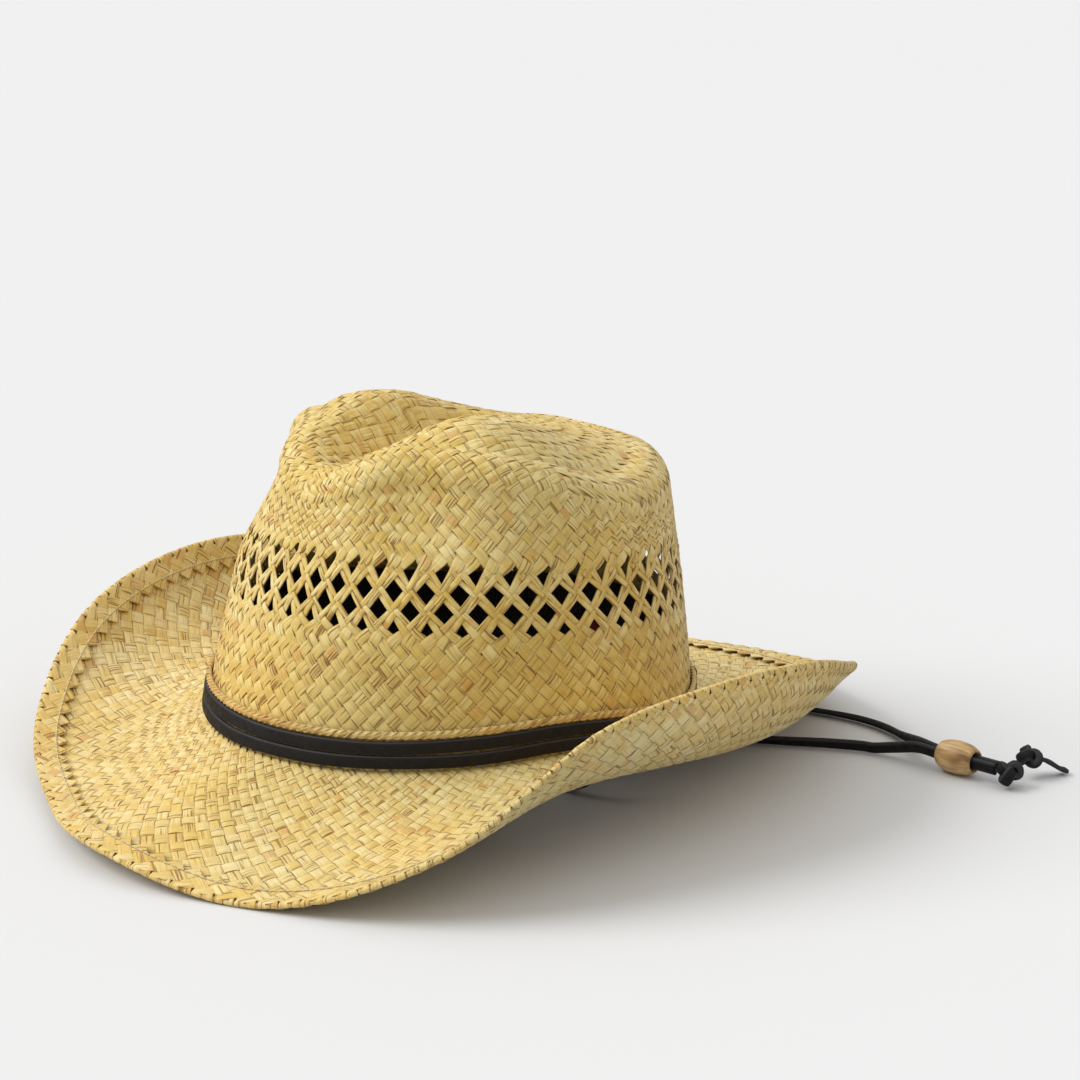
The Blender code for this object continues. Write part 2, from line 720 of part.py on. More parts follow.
def bead(material):
    """A bored wooden barrel, turned about its own axis, with its origin at its middle."""
    profile = []
    steps = 8
    for k in range(steps + 1):
        along = -1.0 + 2.0 * k / steps
        bulge = BEAD_END_RADIUS + (BEAD_RADIUS - BEAD_END_RADIUS) * (1.0 - along ** 2) ** 0.7
        profile.append((along * BEAD_LENGTH / 2, bulge))
    profile.append((BEAD_LENGTH / 2, BEAD_BORE_RADIUS))
    profile.append((-BEAD_LENGTH / 2, BEAD_BORE_RADIUS))
    sides = 24
    turn = angles(sides, 0.5)
    body = Body()
    loop = [np.stack([np.full(sides, x), r * np.cos(turn), r * np.sin(turn)], -1) for x, r in profile]
    first = body.add(np.array(loop))
    body.ring_bands(first, sides, len(loop), closed=True)
    obj = body.make("slider_bead", material, place=False)
    obj.location = on_ground(BEAD_CENTRE)
    obj.rotation_euler = (0.0, 0.0, math.radians(BEAD_TURN))
    print("bead", tuple(round(v, 5) for v in obj.location))
    return obj


def knot(name, centre, size, turn, material):
    """A pulled-up knot: three lobes round a middle, as one closed solid."""
    body = Body()
    rows, sides = 8, 14
    points = []
    for i in range(1, rows):
        polar = math.pi * i / rows
        for j in range(sides):
            a = 2.0 * math.pi * j / sides
            swell = 1.0 + 0.10 * math.cos(3 * a + turn) * math.sin(polar) ** 2
            points.append([
                centre[0] + size[0] * swell * math.sin(polar) * math.cos(a),
                centre[1] + size[1] * swell * math.sin(polar) * math.sin(a),
                centre[2] + size[2] * math.cos(polar),
            ])
    first = body.add(points)
    body.ring_bands(first, sides, rows - 1)
    top = body.add([(centre[0], centre[1], centre[2] + size[2])])
    foot = body.add([(centre[0], centre[1], centre[2] - size[2])])
    last = first + (rows - 2) * sides
    for j in range(sides):
        k = (j + 1) % sides
        body.faces.append((first + k, first + j, top))
        body.faces.append((last + j, last + k, foot))
    body.points = on_ground(body.points)
    return body.make(name, material, place=False)


def knots(material):
    axis = bead_axis()
    across = np.array([-axis[1], axis[0], 0.0])
    centre = np.array(BEAD_CENTRE)
    first = centre + axis * KNOT_DISTANCE
    first[2] = 6.4 * MM
    second = first + across * 13.8 * MM
    second[2] = 8.6 * MM
    knot("cord_knot_inner", first, (6.2 * MM, 6.2 * MM, 5.9 * MM), 0.0, material)
    knot("cord_knot_outer", second, (6.4 * MM, 6.2 * MM, 4.8 * MM), 1.2, material)
    away = axis * 0.53 + across * 0.85
    side = np.array([-away[1], away[0], 0.0])
    body = Body()
    rows = []
    for k, (distance, height) in enumerate(((7.2, 6.4), (10.5, 5.2), (13.5, 3.6), (16.5, 2.0))):
        spot = second + away * distance * MM
        spot[2] = height * MM
        half_wide, half_thick = 2.3 * MM, 0.9 * MM
        up = np.array([0.0, 0.0, 1.0])
        rows.append([
            spot - side * half_wide - up * half_thick, spot + side * half_wide - up * half_thick,
            spot + side * half_wide + up * half_thick, spot - side * half_wide + up * half_thick,
        ])
    first_row = body.add(np.array(rows))
    for i in range(3):
        for j in range(4):
            k = (j + 1) % 4
            a = first_row + i * 4
            body.faces.append((a + j, a + k, a + 4 + k, a + 4 + j))
    body.faces.append(tuple(first_row + j for j in range(4)))
    body.faces.append(tuple(first_row + 12 + j for j in reversed(range(4))))
    body.points = on_ground(body.points)
    body.make("cord_tail", material, place=False, smooth=False)


def main():
    clear_scene()
    find_seat()
    straw = {
        name: finish_of("straw_" + name, colour, 0.7)
        for name, colour in {
            "tip": (0.62, 0.48, 0.22), "wall": (0.60, 0.46, 0.20), "vents": (0.64, 0.50, 0.24),
            "foot": (0.58, 0.43, 0.18), "twining": (0.62, 0.45, 0.20), "brim": (0.66, 0.50, 0.25),
            "hem": (0.64, 0.46, 0.20),
        }.items()
    }
    leather = finish_of("black_lace_leather", (0.02, 0.018, 0.016), 0.55)
    lower_leather = finish_of("black_lace_leather_lower", (0.022, 0.02, 0.018), 0.55)
    ribbon = finish_of("black_ribbon", (0.02, 0.018, 0.017), 0.85)
    thread = finish_of("straw_thread", (0.62, 0.50, 0.28), 0.8)
    dark_thread = finish_of("black_thread", (0.03, 0.03, 0.03), 0.8)
    steel = finish_of("edge_wire_steel", (0.55, 0.55, 0.56), 0.35, 1.0)
    wood = finish_of("turned_wood", (0.56, 0.40, 0.20), 0.5)
    label = finish_of("label_cloth", (0.45, 0.05, 0.06), 0.8)

    tip(straw["tip"])
    upper_wall(straw["wall"])
    vent_band(straw["vents"])
    lower_wall(straw["foot"])
    brim(straw["brim"])
    brim_hem(straw["hem"])
    brim_wire(steel)
    hem_stitching(thread)
    wall_bands(leather, straw["twining"])
    keeper(lower_leather)
    sweatband(ribbon, dark_thread, label)
    chin_cord("chin_cord_left", LEFT_CORD_START, LEFT_CORD_ROUTE, -1.0, leather)
    chin_cord("chin_cord_right", RIGHT_CORD_START, RIGHT_CORD_ROUTE, 1.0, leather)
    bead(wood)
    knots(lower_leather)


if __name__ == "__main__":
    main()
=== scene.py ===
# %% [markdown]
# # A woven western straw hat with a chin cord
#
# The lesson builds the hat the way a hat maker does: strands of split straw are woven over and
# under each other, first as the tip of the crown, then down its wall, through a band of small
# openings, and out over the brim, whose edge is folded back over a wire and sewn.
#
# The solids of the design are loaded first and stay where they are. Every visible piece made here
# takes its place from them, in metres, with the hat's front towards -Y.

# %% Load the fixed frame and keep its size
import math

import bmesh
import bpy
import numpy as np
from mathutils import Matrix, Vector


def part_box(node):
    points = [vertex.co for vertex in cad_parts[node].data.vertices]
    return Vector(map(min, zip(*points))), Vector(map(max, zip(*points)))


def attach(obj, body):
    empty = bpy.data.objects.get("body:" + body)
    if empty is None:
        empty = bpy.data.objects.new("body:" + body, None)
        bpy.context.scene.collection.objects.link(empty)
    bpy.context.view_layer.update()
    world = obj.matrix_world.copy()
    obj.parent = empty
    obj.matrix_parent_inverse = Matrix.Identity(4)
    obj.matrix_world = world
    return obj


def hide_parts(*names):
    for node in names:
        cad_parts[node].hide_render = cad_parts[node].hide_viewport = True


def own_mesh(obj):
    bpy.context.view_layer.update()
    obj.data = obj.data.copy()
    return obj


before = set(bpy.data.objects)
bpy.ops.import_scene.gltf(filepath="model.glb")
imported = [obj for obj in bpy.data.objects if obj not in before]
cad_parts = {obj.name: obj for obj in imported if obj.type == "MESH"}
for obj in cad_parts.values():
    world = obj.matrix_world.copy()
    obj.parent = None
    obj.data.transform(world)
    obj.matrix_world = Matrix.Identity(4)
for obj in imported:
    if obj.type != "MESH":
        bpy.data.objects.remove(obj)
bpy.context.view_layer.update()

MM = 0.001

# %% [markdown]
# ## The hat's surface as formulas
#
# A weave has to lie on a surface that can be asked for a point at any angle and height. The
# design gives that surface as a few driving sizes: an oval for the head, a ridge line for the
# crown, and one slope and curl of the brim for each direction. The same sizes are repeated here.
# A table of scanned points would follow the shape too, but nobody could read or change it.

# %% Driving sizes of the crown
HEAD_HALF_WIDTH = 82.3 * MM
HEAD_HALF_LENGTH = 100.0 * MM
WEAVE_THICKNESS = 1.6 * MM
RIDGE_PLACES = (-95 * MM, -72 * MM, -50 * MM, -20 * MM, 0.0, 20 * MM, 45 * MM, 70 * MM, 98 * MM)
RIDGE_HEIGHTS = (
    95.5 * MM, 104.5 * MM, 111.5 * MM, 116.5 * MM, 113.5 * MM, 106 * MM, 96.5 * MM, 89.5 * MM,
    81.5 * MM,
)
CROWN_CAMBER = 11.0
CROWN_FLAT_HALF_WIDTH = 17 * MM
CREASE_DEPTH = 22 * MM
CREASE_HALF_WIDTH = 14 * MM
CREASE_FRONT = (-82 * MM, -30 * MM)
CREASE_BACK = (5 * MM, 50 * MM)
TAPER_FRONT = 26 * MM
TAPER_SIDE = 15 * MM
TAPER_BACK = 7 * MM
TOP_ROUND_FRONT = 13 * MM
TOP_ROUND_BACK = 16 * MM
PINCH_DEPTH = 9 * MM
PINCH_DIRECTION = 48.0
PINCH_SPREAD = 20.0
PINCH_HEIGHTS = (55 * MM, 98 * MM)
VENT_HEIGHT_AT_MIDDLE = 49.6 * MM
VENT_FALL_TO_BACK = 0.118
VENT_FALL_TO_RIGHT = 0.029
VENT_HALF_HEIGHT = 14 * MM

# %% Driving sizes of the brim: direction in degrees, width, mean slope, curl
BRIM_SECTIONS = (
    (0.0, 75.5 * MM, -14.0, 15.0),
    (22.5, 76.0 * MM, -20.0, 25.0),
    (45.0, 79.0 * MM, -3.0, 60.0),
    (67.5, 76.5 * MM, 27.0, 95.0),
    (90.0, 78.5 * MM, 33.0, 105.0),
    (112.5, 75.5 * MM, 26.0, 105.0),
    (135.0, 70.5 * MM, 8.0, 95.0),
    (157.5, 74.0 * MM, -12.5, 50.0),
    (180.0, 77.0 * MM, -21.5, 15.0),
    (202.5, 78.0 * MM, -23.5, 15.0),
    (225.0, 76.0 * MM, -15.0, 50.0),
    (247.5, 77.5 * MM, 11.0, 80.0),
    (270.0, 77.5 * MM, 22.0, 95.0),
    (292.5, 77.0 * MM, 15.0, 90.0),
    (315.0, 72.5 * MM, -8.5, 62.0),
    (337.5, 68.0 * MM, -18.0, 30.0),
)
FOOT_DROP = 16 * MM                      # the crown's foot lies lower round the back
FOOT_DROP_DIRECTIONS = (70.0, 135.0)     # degrees from the front, to both sides
BRIM_START = 1.2 * MM
NOSE_DOWN = 1.1
HEM_WIDTH = 11.5 * MM
TURN_IN = 5.0 * MM


# %% Smooth curves through a few chosen values
def ease(value, start, end):
    part = np.clip((value - start) / (end - start), 0.0, 1.0)
    return part * part * (3.0 - 2.0 * part)


def through(places, heights, at):
    """A smooth curve through the given points, with slopes from the neighbours."""
    places = np.asarray(places)
    heights = np.asarray(heights)
    slopes = np.gradient(heights, places)
    at = np.clip(at, places[0], places[-1])
    left = np.clip(np.searchsorted(places, at, side="right") - 1, 0, len(places) - 2)
    step = places[left + 1] - places[left]
    t = (at - places[left]) / step
    return (
        heights[left] * (1 + 2 * t) * (1 - t) ** 2
        + slopes[left] * step * t * (1 - t) ** 2
        + heights[left + 1] * t * t * (3 - 2 * t)
        + slopes[left + 1] * step * t * t * (t - 1)
    )


def round_the_hat(column, angle):
    """One column of the brim sections, read at any angle as a smooth closed curve."""
    turn = np.degrees(angle) % 360.0
    rows = BRIM_SECTIONS[-3:] + BRIM_SECTIONS + BRIM_SECTIONS[:3]
    places = [row[0] for row in rows]
    places = [p - 360.0 for p in places[:3]] + places[3:-3] + [p + 360.0 for p in places[-3:]]
    return through(places, [row[column] for row in rows], turn)


# %% Points on the crown and the brim
def head_oval(angle):
    spot = np.stack([HEAD_HALF_WIDTH * np.sin(angle), -HEAD_HALF_LENGTH * np.cos(angle)], -1)
    out = np.stack([np.sin(angle) / HEAD_HALF_WIDTH, -np.cos(angle) / HEAD_HALF_LENGTH], -1)
    return spot, out / np.linalg.norm(out, axis=-1, keepdims=True)


def top_height(x, y):
    ridge = through(RIDGE_PLACES, RIDGE_HEIGHTS, y)
    depth = CREASE_DEPTH * ease(y, *CREASE_FRONT) * (1.0 - ease(y, *CREASE_BACK))
    crease = depth * np.exp(-((x / CREASE_HALF_WIDTH) ** 2))
    beyond = np.maximum(np.abs(x) - CROWN_FLAT_HALF_WIDTH, 0.0)
    return ridge - crease - CROWN_CAMBER * beyond ** 2


def crown_rim(angle):
    """Lean, rounding radius, pinch and top height of the crown in each direction."""
    front = (1.0 + np.cos(angle)) / 2.0
    lean = TAPER_FRONT * front ** 1.5 + TAPER_BACK * (1.0 - front) ** 1.5
    lean = lean + (TAPER_SIDE - 0.354 * (TAPER_FRONT + TAPER_BACK)) * np.sin(angle) ** 2
    radius = TOP_ROUND_BACK + (TOP_ROUND_FRONT - TOP_ROUND_BACK) * front
    degrees = (np.degrees(angle) + 180.0) % 360.0 - 180.0
    pinch = PINCH_DEPTH * np.exp(-(((np.abs(degrees) - PINCH_DIRECTION) / PINCH_SPREAD) ** 2))
    spot, out = head_oval(angle)
    inner = spot - out * (lean + radius)[..., None]
    return lean, radius, pinch, top_height(inner[..., 0], inner[..., 1])


def crown_wall(angle, height):
    lean, radius, pinch, top = crown_rim(angle)
    part = np.clip(height / (top - radius), 0.0, 1.0)
    inset = lean * part ** 1.25 + pinch * ease(height, *PINCH_HEIGHTS)
    spot, out = head_oval(angle)
    flat = spot - out * inset[..., None]
    return np.concatenate([flat, np.broadcast_to(height, angle.shape)[..., None]], -1)


def crown_top(angle, part):
    """The tip: part 0 to 1 rounds the rim over, 1 to 2 runs in to the middle."""
    lean, radius, pinch, top = crown_rim(angle)
    spot, out = head_oval(angle)
    over = np.clip(part, 0.0, 1.0) * math.pi / 2
    inset = lean + pinch * ease(top - radius, *PINCH_HEIGHTS) * (1.0 - 0.3 * np.clip(part, 0, 1))
    inset = inset + radius * (1.0 - np.cos(over))
    rim = spot - out * inset[..., None]
    rim_height = top - radius + radius * np.sin(over)
    keep = np.clip(2.0 - part, 0.0, 1.0)
    flat = rim * keep[..., None]
    sheet = top_height(flat[..., 0], flat[..., 1])
    step = rim_height - top_height(rim[..., 0], rim[..., 1])
    height = np.where(part <= 1.0, rim_height, sheet + step * ease(keep, 0.8, 1.0))
    return np.concatenate([flat, height[..., None]], -1)


def vent_middle(angle):
    fall_to_back = VENT_FALL_TO_BACK * HEAD_HALF_LENGTH * np.cos(angle)
    fall_to_right = VENT_FALL_TO_RIGHT * HEAD_HALF_WIDTH * np.sin(angle)
    return VENT_HEIGHT_AT_MIDDLE + fall_to_back + fall_to_right


def foot_drop(angle):
    degrees = np.abs((np.degrees(angle) + 180.0) % 360.0 - 180.0)
    return FOOT_DROP * ease(degrees, *FOOT_DROP_DIRECTIONS)


def brim_point(angle, distance, above=0.0):
    width = round_the_hat(1, angle)
    slope = np.radians(round_the_hat(2, angle))
    curl = np.radians(round_the_hat(3, angle))
    start = slope - curl / 2
    now = start + curl * distance / width
    reach = width / curl * (np.sin(now) - np.sin(start)) - above * np.sin(now)
    rise = width / curl * (np.cos(start) - np.cos(now)) + above * np.cos(now)
    rise = rise - foot_drop(angle) * (1.0 - distance / width)
    spot, out = head_oval(angle)
    flat = spot + out * reach[..., None]
    return np.concatenate([flat, rise[..., None]], -1)


# %% [markdown]
# The hat lies slightly nose down on the front and the back of its brim. The formulas above start
# from the middle of the head oval, so the frame is asked where that middle stands: the bead tells
# the place on the ground, and the highest point of the crown tells the height.

# %% Where the formulas stand in the frame
BEAD_CENTRE = np.array([143.0, 129.8, 6.7]) * MM     # from the middle of the head oval


def tilt(points):
    turn = math.radians(NOSE_DOWN)
    x, y, z = points[..., 0], points[..., 1], points[..., 2]
    return np.stack(
        [x, y * math.cos(turn) - z * math.sin(turn), z * math.cos(turn) + y * math.sin(turn)], -1
    )


bead_low, bead_high = (np.array(corner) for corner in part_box("slider_bead"))
SEAT = (bead_low + bead_high) / 2 - BEAD_CENTRE
all_round, all_parts = np.meshgrid(np.linspace(0, 2 * math.pi, 240), np.linspace(0, 2, 60))
SEAT[2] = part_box("crown_tip")[1][2] - tilt(crown_top(all_round, all_parts))[..., 2].max()
print("head oval stands at", SEAT.round(5))


def stand(points):
    return tilt(np.asarray(points)) + SEAT


def on_ground(points):
    return np.asarray(points) + SEAT * (1.0, 1.0, 0.0)


# %% [markdown]
# ## Camera, floor and light
#
# The camera stands at eye height of someone at a low table, about 1.4 m away, with a long lens,
# so the brim keeps its true oval. The floor and the air are the same pale grey, and one large soft
# lamp from the left lets the shadow fall under the right side of the brim. Many small lamps would
# give a livelier picture, but also several shadows.

# %% Camera
CAMERA_PLACE = Vector((0.95935, -0.9174, 0.4859))
CAMERA_RIGHT = Vector((0.7071, 0.7070, 0.0136))
CAMERA_UP = Vector((-0.2125, 0.1942, 0.9577))
LENS = 122.38
SENSOR = 36.0

camera_data = bpy.data.cameras.new("camera")
camera_data.lens = LENS
camera_data.sensor_width = SENSOR
camera_data.clip_end = 50.0
camera = bpy.data.objects.new("camera", camera_data)
bpy.context.scene.collection.objects.link(camera)
right = CAMERA_RIGHT.normalized()
back = right.cross(CAMERA_UP).normalized()
up = back.cross(right)
turned = Matrix((right, up, back)).transposed().to_4x4()
camera.matrix_world = Matrix.Translation(CAMERA_PLACE) @ turned
bpy.context.scene.camera = camera
bpy.context.scene.view_settings.view_transform = "Standard"
print("camera", [round(v, 3) for v in camera.location])


# %% Small helpers for materials made of nodes
def add_node(tree, kind, **settings):
    made = tree.nodes.new(kind)
    for key, value in settings.items():
        setattr(made, key, value)
    return made


def finish_called(name, roughness=0.6, metallic=0.0, specular=0.4):
    """A new material with its shader's even values set on the shader itself."""
    material = bpy.data.materials.new(name)
    material.use_nodes = True
    shader = material.node_tree.nodes["Principled BSDF"]
    shader.inputs["Roughness"].default_value = roughness
    shader.inputs["Metallic"].default_value = metallic
    shader.inputs["Specular IOR Level"].default_value = specular
    return material, material.node_tree, shader


def stretched(tree, vector, scale):
    """The vector, multiplied by a scale of its own along each axis."""
    times = add_node(tree, "ShaderNodeVectorMath", operation="MULTIPLY")
    tree.links.new(vector, times.inputs[0])
    times.inputs[1].default_value = scale
    return times.outputs[0]


def noise(tree, vector, scale=1.0, detail=2.0, roughness=0.5):
    made = add_node(tree, "ShaderNodeTexNoise")
    made.inputs["Scale"].default_value = scale
    made.inputs["Detail"].default_value = detail
    made.inputs["Roughness"].default_value = roughness
    tree.links.new(vector, made.inputs["Vector"])
    return made.outputs["Fac"]


def ramp(tree, value, stops):
    """Colours or greys along a value: stops are (place, colour)."""
    made = add_node(tree, "ShaderNodeValToRGB")
    points = made.color_ramp.elements
    while len(points) < len(stops):
        points.new(0.5)
    for point, (place, colour) in zip(points, stops):
        point.position = place
        point.color = (*colour, 1.0) if len(colour) == 3 else colour
    tree.links.new(value, made.inputs["Fac"])
    return made.outputs["Color"]


def mixed(tree, blend, factor, first, second):
    """Two colours mixed; factor, first and second are sockets or plain values."""
    made = add_node(tree, "ShaderNodeMix", data_type="RGBA", blend_type=blend)
    sockets = (made.inputs[0], made.inputs[6], made.inputs[7])
    for socket, value in zip(sockets, (factor, first, second)):
        if isinstance(value, bpy.types.NodeSocket):
            tree.links.new(value, socket)
        else:
            socket.default_value = value
    return made.outputs[2]


def calculated(tree, operation, *values):
    made = add_node(tree, "ShaderNodeMath", operation=operation)
    for socket, value in zip(made.inputs, values):
        if isinstance(value, bpy.types.NodeSocket):
            tree.links.new(value, socket)
        else:
            socket.default_value = value
    return made.outputs[0]


def raised(tree, shader, height, distance, strength=1.0):
    """Bump from a height, on the shader's normal."""
    made = add_node(tree, "ShaderNodeBump")
    made.inputs["Strength"].default_value = strength
    made.inputs["Distance"].default_value = distance
    tree.links.new(height, made.inputs["Height"])
    tree.links.new(made.outputs["Normal"], shader.inputs["Normal"])


def place_on_piece(tree):
    return add_node(tree, "ShaderNodeTexCoord").outputs["Object"]


def named(tree, name, output="Vector"):
    return add_node(tree, "ShaderNodeAttribute", attribute_name=name).outputs[output]


# %% Floor and light
FLOOR_SIZE = 12.0
FLOOR_TONE = 0.66
SUN_STRENGTH = 2.3
SKY_STRENGTH = 1.04
SKY_LOW = 0.15                               # share of the sky's light that is left at the horizon
SUN_FROM = Vector((-0.60, -0.66, 0.72))      # the way from the hat to the light
SUN_WIDTH = 38.0                             # degrees: a wide lamp makes a soft shadow

floor_mesh = bpy.data.meshes.new("floor")
half = FLOOR_SIZE / 2
floor_mesh.from_pydata(
    [(-half, -half, 0), (half, -half, 0), (half, half, 0), (-half, half, 0)], [], [(0, 1, 2, 3)]
)
floor = bpy.data.objects.new("floor", floor_mesh)
bpy.context.scene.collection.objects.link(floor)
floor_finish, tree, shader = finish_called("pale_floor", roughness=0.9, specular=0.1)
shader.inputs["Base Color"].default_value = (FLOOR_TONE, FLOOR_TONE, FLOOR_TONE, 1.0)
floor_mesh.materials.append(floor_finish)

sun_data = bpy.data.lights.new("soft_sun", "SUN")
sun_data.energy = SUN_STRENGTH
sun_data.angle = math.radians(SUN_WIDTH)
sun = bpy.data.objects.new("soft_sun", sun_data)
sun.rotation_euler = SUN_FROM.to_track_quat("Z", "Y").to_euler()
bpy.context.scene.collection.objects.link(sun)

world = bpy.data.worlds.new("pale_air")
world.use_nodes = True
air = world.node_tree.nodes["Background"]
air.inputs["Strength"].default_value = SKY_STRENGTH
height = add_node(world.node_tree, "ShaderNodeSeparateXYZ")
world.node_tree.links.new(
    add_node(world.node_tree, "ShaderNodeTexCoord").outputs["Generated"], height.inputs[0]
)
overhead = ramp(world.node_tree, height.outputs[2], ((0.0, (SKY_LOW,) * 3), (0.75, (1.0,) * 3)))
world.node_tree.links.new(overhead, air.inputs["Color"])
bpy.context.scene.world = world
print("sun comes from", [round(v, 2) for v in SUN_FROM])


# %% [markdown]
# ## Meshes and rings
#
# Straps, bands and cords are all one section carried along a line. A helper sweeps a section of
# named corner points along rows of places, closes the ends, and returns a plain mesh whose faces
# point out. A curve with a bevel would do for round cords, but not for a flat strap that rolls.

# %% A new piece from vertices and faces
def piece(name, points, faces, finish, smooth=True, attributes=()):
    mesh = bpy.data.meshes.new(name)
    mesh.from_pydata([tuple(p) for p in np.asarray(points)], [], faces)
    for label, values in attributes:
        layer = mesh.attributes.new(label, "FLOAT_VECTOR", "POINT")
        layer.data.foreach_set("vector", np.asarray(values, np.float32).ravel())
    work = bmesh.new()
    work.from_mesh(mesh)
    bmesh.ops.recalc_face_normals(work, faces=work.faces)
    work.to_mesh(mesh)
    work.free()
    for face in mesh.polygons:
        face.use_smooth = smooth
    mesh.materials.append(finish)
    made = bpy.data.objects.new(name, mesh)
    bpy.context.scene.collection.objects.link(made)
    return made


def swept(rows, closed_run=False):
    """Vertices and faces of a closed section carried along rows of places."""
    rows = np.asarray(rows)
    count, sides = rows.shape[:2]
    faces = []
    for i in range(count if closed_run else count - 1):
        a, b = i * sides, ((i + 1) % count) * sides
        for j in range(sides):
            k = (j + 1) % sides
            faces.append((a + j, a + k, b + k, b + j))
    if not closed_run:
        faces.append(tuple(reversed(range(sides))))
        faces.append(tuple((count - 1) * sides + j for j in range(sides)))
    return rows.reshape(-1, 3), faces


def declare(made, body, slot, *nodes):
    """The piece rides on its body and stands for its design nodes, which are hidden; slot is not used.
    """
    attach(made, body)
    if nodes:
        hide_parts(*nodes)
    print(made.name, len(made.data.polygons), "faces")
    return made


def run_along(line):
    """Distance of each place from the start of its line."""
    steps = np.linalg.norm(np.diff(line, axis=0), axis=1)
    return np.concatenate([[0.0], np.cumsum(steps)])


def unit(vectors):
    return vectors / np.linalg.norm(vectors, axis=-1, keepdims=True)


# %% [markdown]
# ## Chin cord
#
# The chin cord is two flat laces of black split leather, about 4.8 mm wide, that come out from
# under the sweatband, lie on the ground, pass through a wooden bead and end in knots. A lace is
# stiff across and limp along, so it lies flat, rolls over here and there, and bends in wide
# curves. Its section is a rounded flat strip, carried along the chosen places and rolled a little.

# %% Places that each lace passes, in millimetres from the middle of the head oval
LEFT_CORD_ROUTE = (
    (76.5, 4.0, 30.0), (75.0, 4.5, 24.0), (71.0, 5.0, 13.0), (64.0, 6.0, 5.0), (53.0, 8.0, 1.7),
    (40.0, 12.5, 1.7), (28.0, 21.0, 1.7), (21.0, 34.0, 1.7), (22.0, 50.0, 1.7), (31.0, 65.0, 1.7),
    (45.0, 79.0, 1.7), (59.0, 90.0, 1.7), (72.0, 99.5, 1.7), (83.0, 107.5, 1.7),
    (94.0, 115.5, 1.7), (105.0, 122.0, 2.3), (116.0, 126.0, 4.5), (126.0, 127.0, 6.9),
)
RIGHT_CORD_ROUTE = (
    (-76.5, 4.0, 30.0), (-75.0, 5.0, 24.0), (-70.5, 8.0, 13.0), (-63.0, 13.0, 5.0),
    (-54.0, 22.0, 1.7), (-44.0, 36.0, 1.7), (-34.0, 54.0, 1.7), (-21.0, 74.0, 1.7),
    (-6.0, 94.0, 1.7), (12.0, 112.0, 1.7), (32.0, 127.0, 1.7), (52.0, 138.0, 1.7),
    (68.0, 143.5, 1.7), (82.0, 146.0, 1.7), (96.0, 145.0, 1.9), (108.0, 141.0, 3.0),
    (119.0, 135.5, 5.4), (126.5, 131.2, 7.2),
)
BEAD_TURN = 5.0
CORD_PITCH = 3.3 * MM
KNOT_DISTANCE = 22.5 * MM
CORD_END = KNOT_DISTANCE - 6.9 * MM
LACE_WIDTH = 4.8 * MM
CHIN_LACE_THICKNESS = 1.7 * MM
CLEAR_OF_GROUND = 0.15 * MM

bead_turn = math.radians(BEAD_TURN)
bead_axis = np.array([math.cos(bead_turn), math.sin(bead_turn), 0.0])
bead_across = np.array([-bead_axis[1], bead_axis[0], 0.0])


def smooth_route(points, count):
    """Evenly spaced points on one smooth curve through the route, and its length."""
    points = np.asarray(points)
    along = run_along(points)
    fine = np.linspace(0.0, along[-1], 1200)
    curve = np.stack([through(along, points[:, k], fine) for k in range(3)], -1)
    length = run_along(curve)
    even = np.linspace(0.0, length[-1], count)
    return np.stack([np.interp(even, length, curve[:, k]) for k in range(3)], -1), length[-1]


# %% Section of a strap: flat faces, a shallow crown and rounded edges
def strap_section(width, thickness, corner=0.35):
    """Corner points (across, up) of a strap, counted round from its lower left."""
    half, rise = width / 2, thickness / 2
    cut = corner * thickness
    return np.array([
        (-half + cut, -rise), (0.0, -rise), (half - cut, -rise), (half - 0.3 * cut, -rise + 0.3 * cut),
        (half, 0.0), (half - 0.3 * cut, rise - 0.3 * cut), (half - cut, rise),
        (half - 2.2 * cut, rise * 1.04), (0.0, rise * 1.1), (-half + 2.2 * cut, rise * 1.04),
        (-half + cut, rise), (-half + 0.3 * cut, rise - 0.3 * cut), (-half, 0.0),
        (-half + 0.3 * cut, -rise + 0.3 * cut),
    ])


def strap_rows(line, roll, section, up=(0.0, 0.0, 1.0)):
    """The section carried along a line; roll turns it about the line, in radians."""
    ahead = unit(np.gradient(line, axis=0))
    side = unit(np.cross(ahead, np.broadcast_to(np.asarray(up, float), line.shape)))
    rise = np.cross(side, ahead)
    roll = np.broadcast_to(roll, (len(line),))
    turned_side = side * np.cos(roll)[:, None] + rise * np.sin(roll)[:, None]
    turned_rise = rise * np.cos(roll)[:, None] - side * np.sin(roll)[:, None]
    return (
        line[:, None, :]
        + turned_side[:, None, :] * section[None, :, 0, None]
        + turned_rise[:, None, :] * section[None, :, 1, None]
    )


def strap_place(rows, section, width):
    """For the finish: across the strap in metres, along it, and which face a point is on."""
    count, sides = rows.shape[:2]
    spot = np.zeros((count, sides, 3))
    spot[..., 0] = section[None, :, 0] / (width / 2)
    spot[..., 1] = run_along(rows.mean(1))[:, None]
    spot[..., 2] = section[None, :, 1]
    return spot.reshape(-1, 3)


def laid_strap(name, rows, section, width, finish, closed_run=False):
    """A piece from a strap's rows, with the strap's own coordinates for its finish."""
    points, faces = swept(rows, closed_run)
    spot = strap_place(rows, section, width)
    return piece(name, points, faces, finish, attributes=[("strap", spot)])


# %% [markdown]
# Black leather: the grain side has fine pores and a dull shine, the split side and the cut edges
# are lighter and fuzzy. The strap's own coordinates say how far across a point is, so worn edges
# follow the strap wherever it goes.

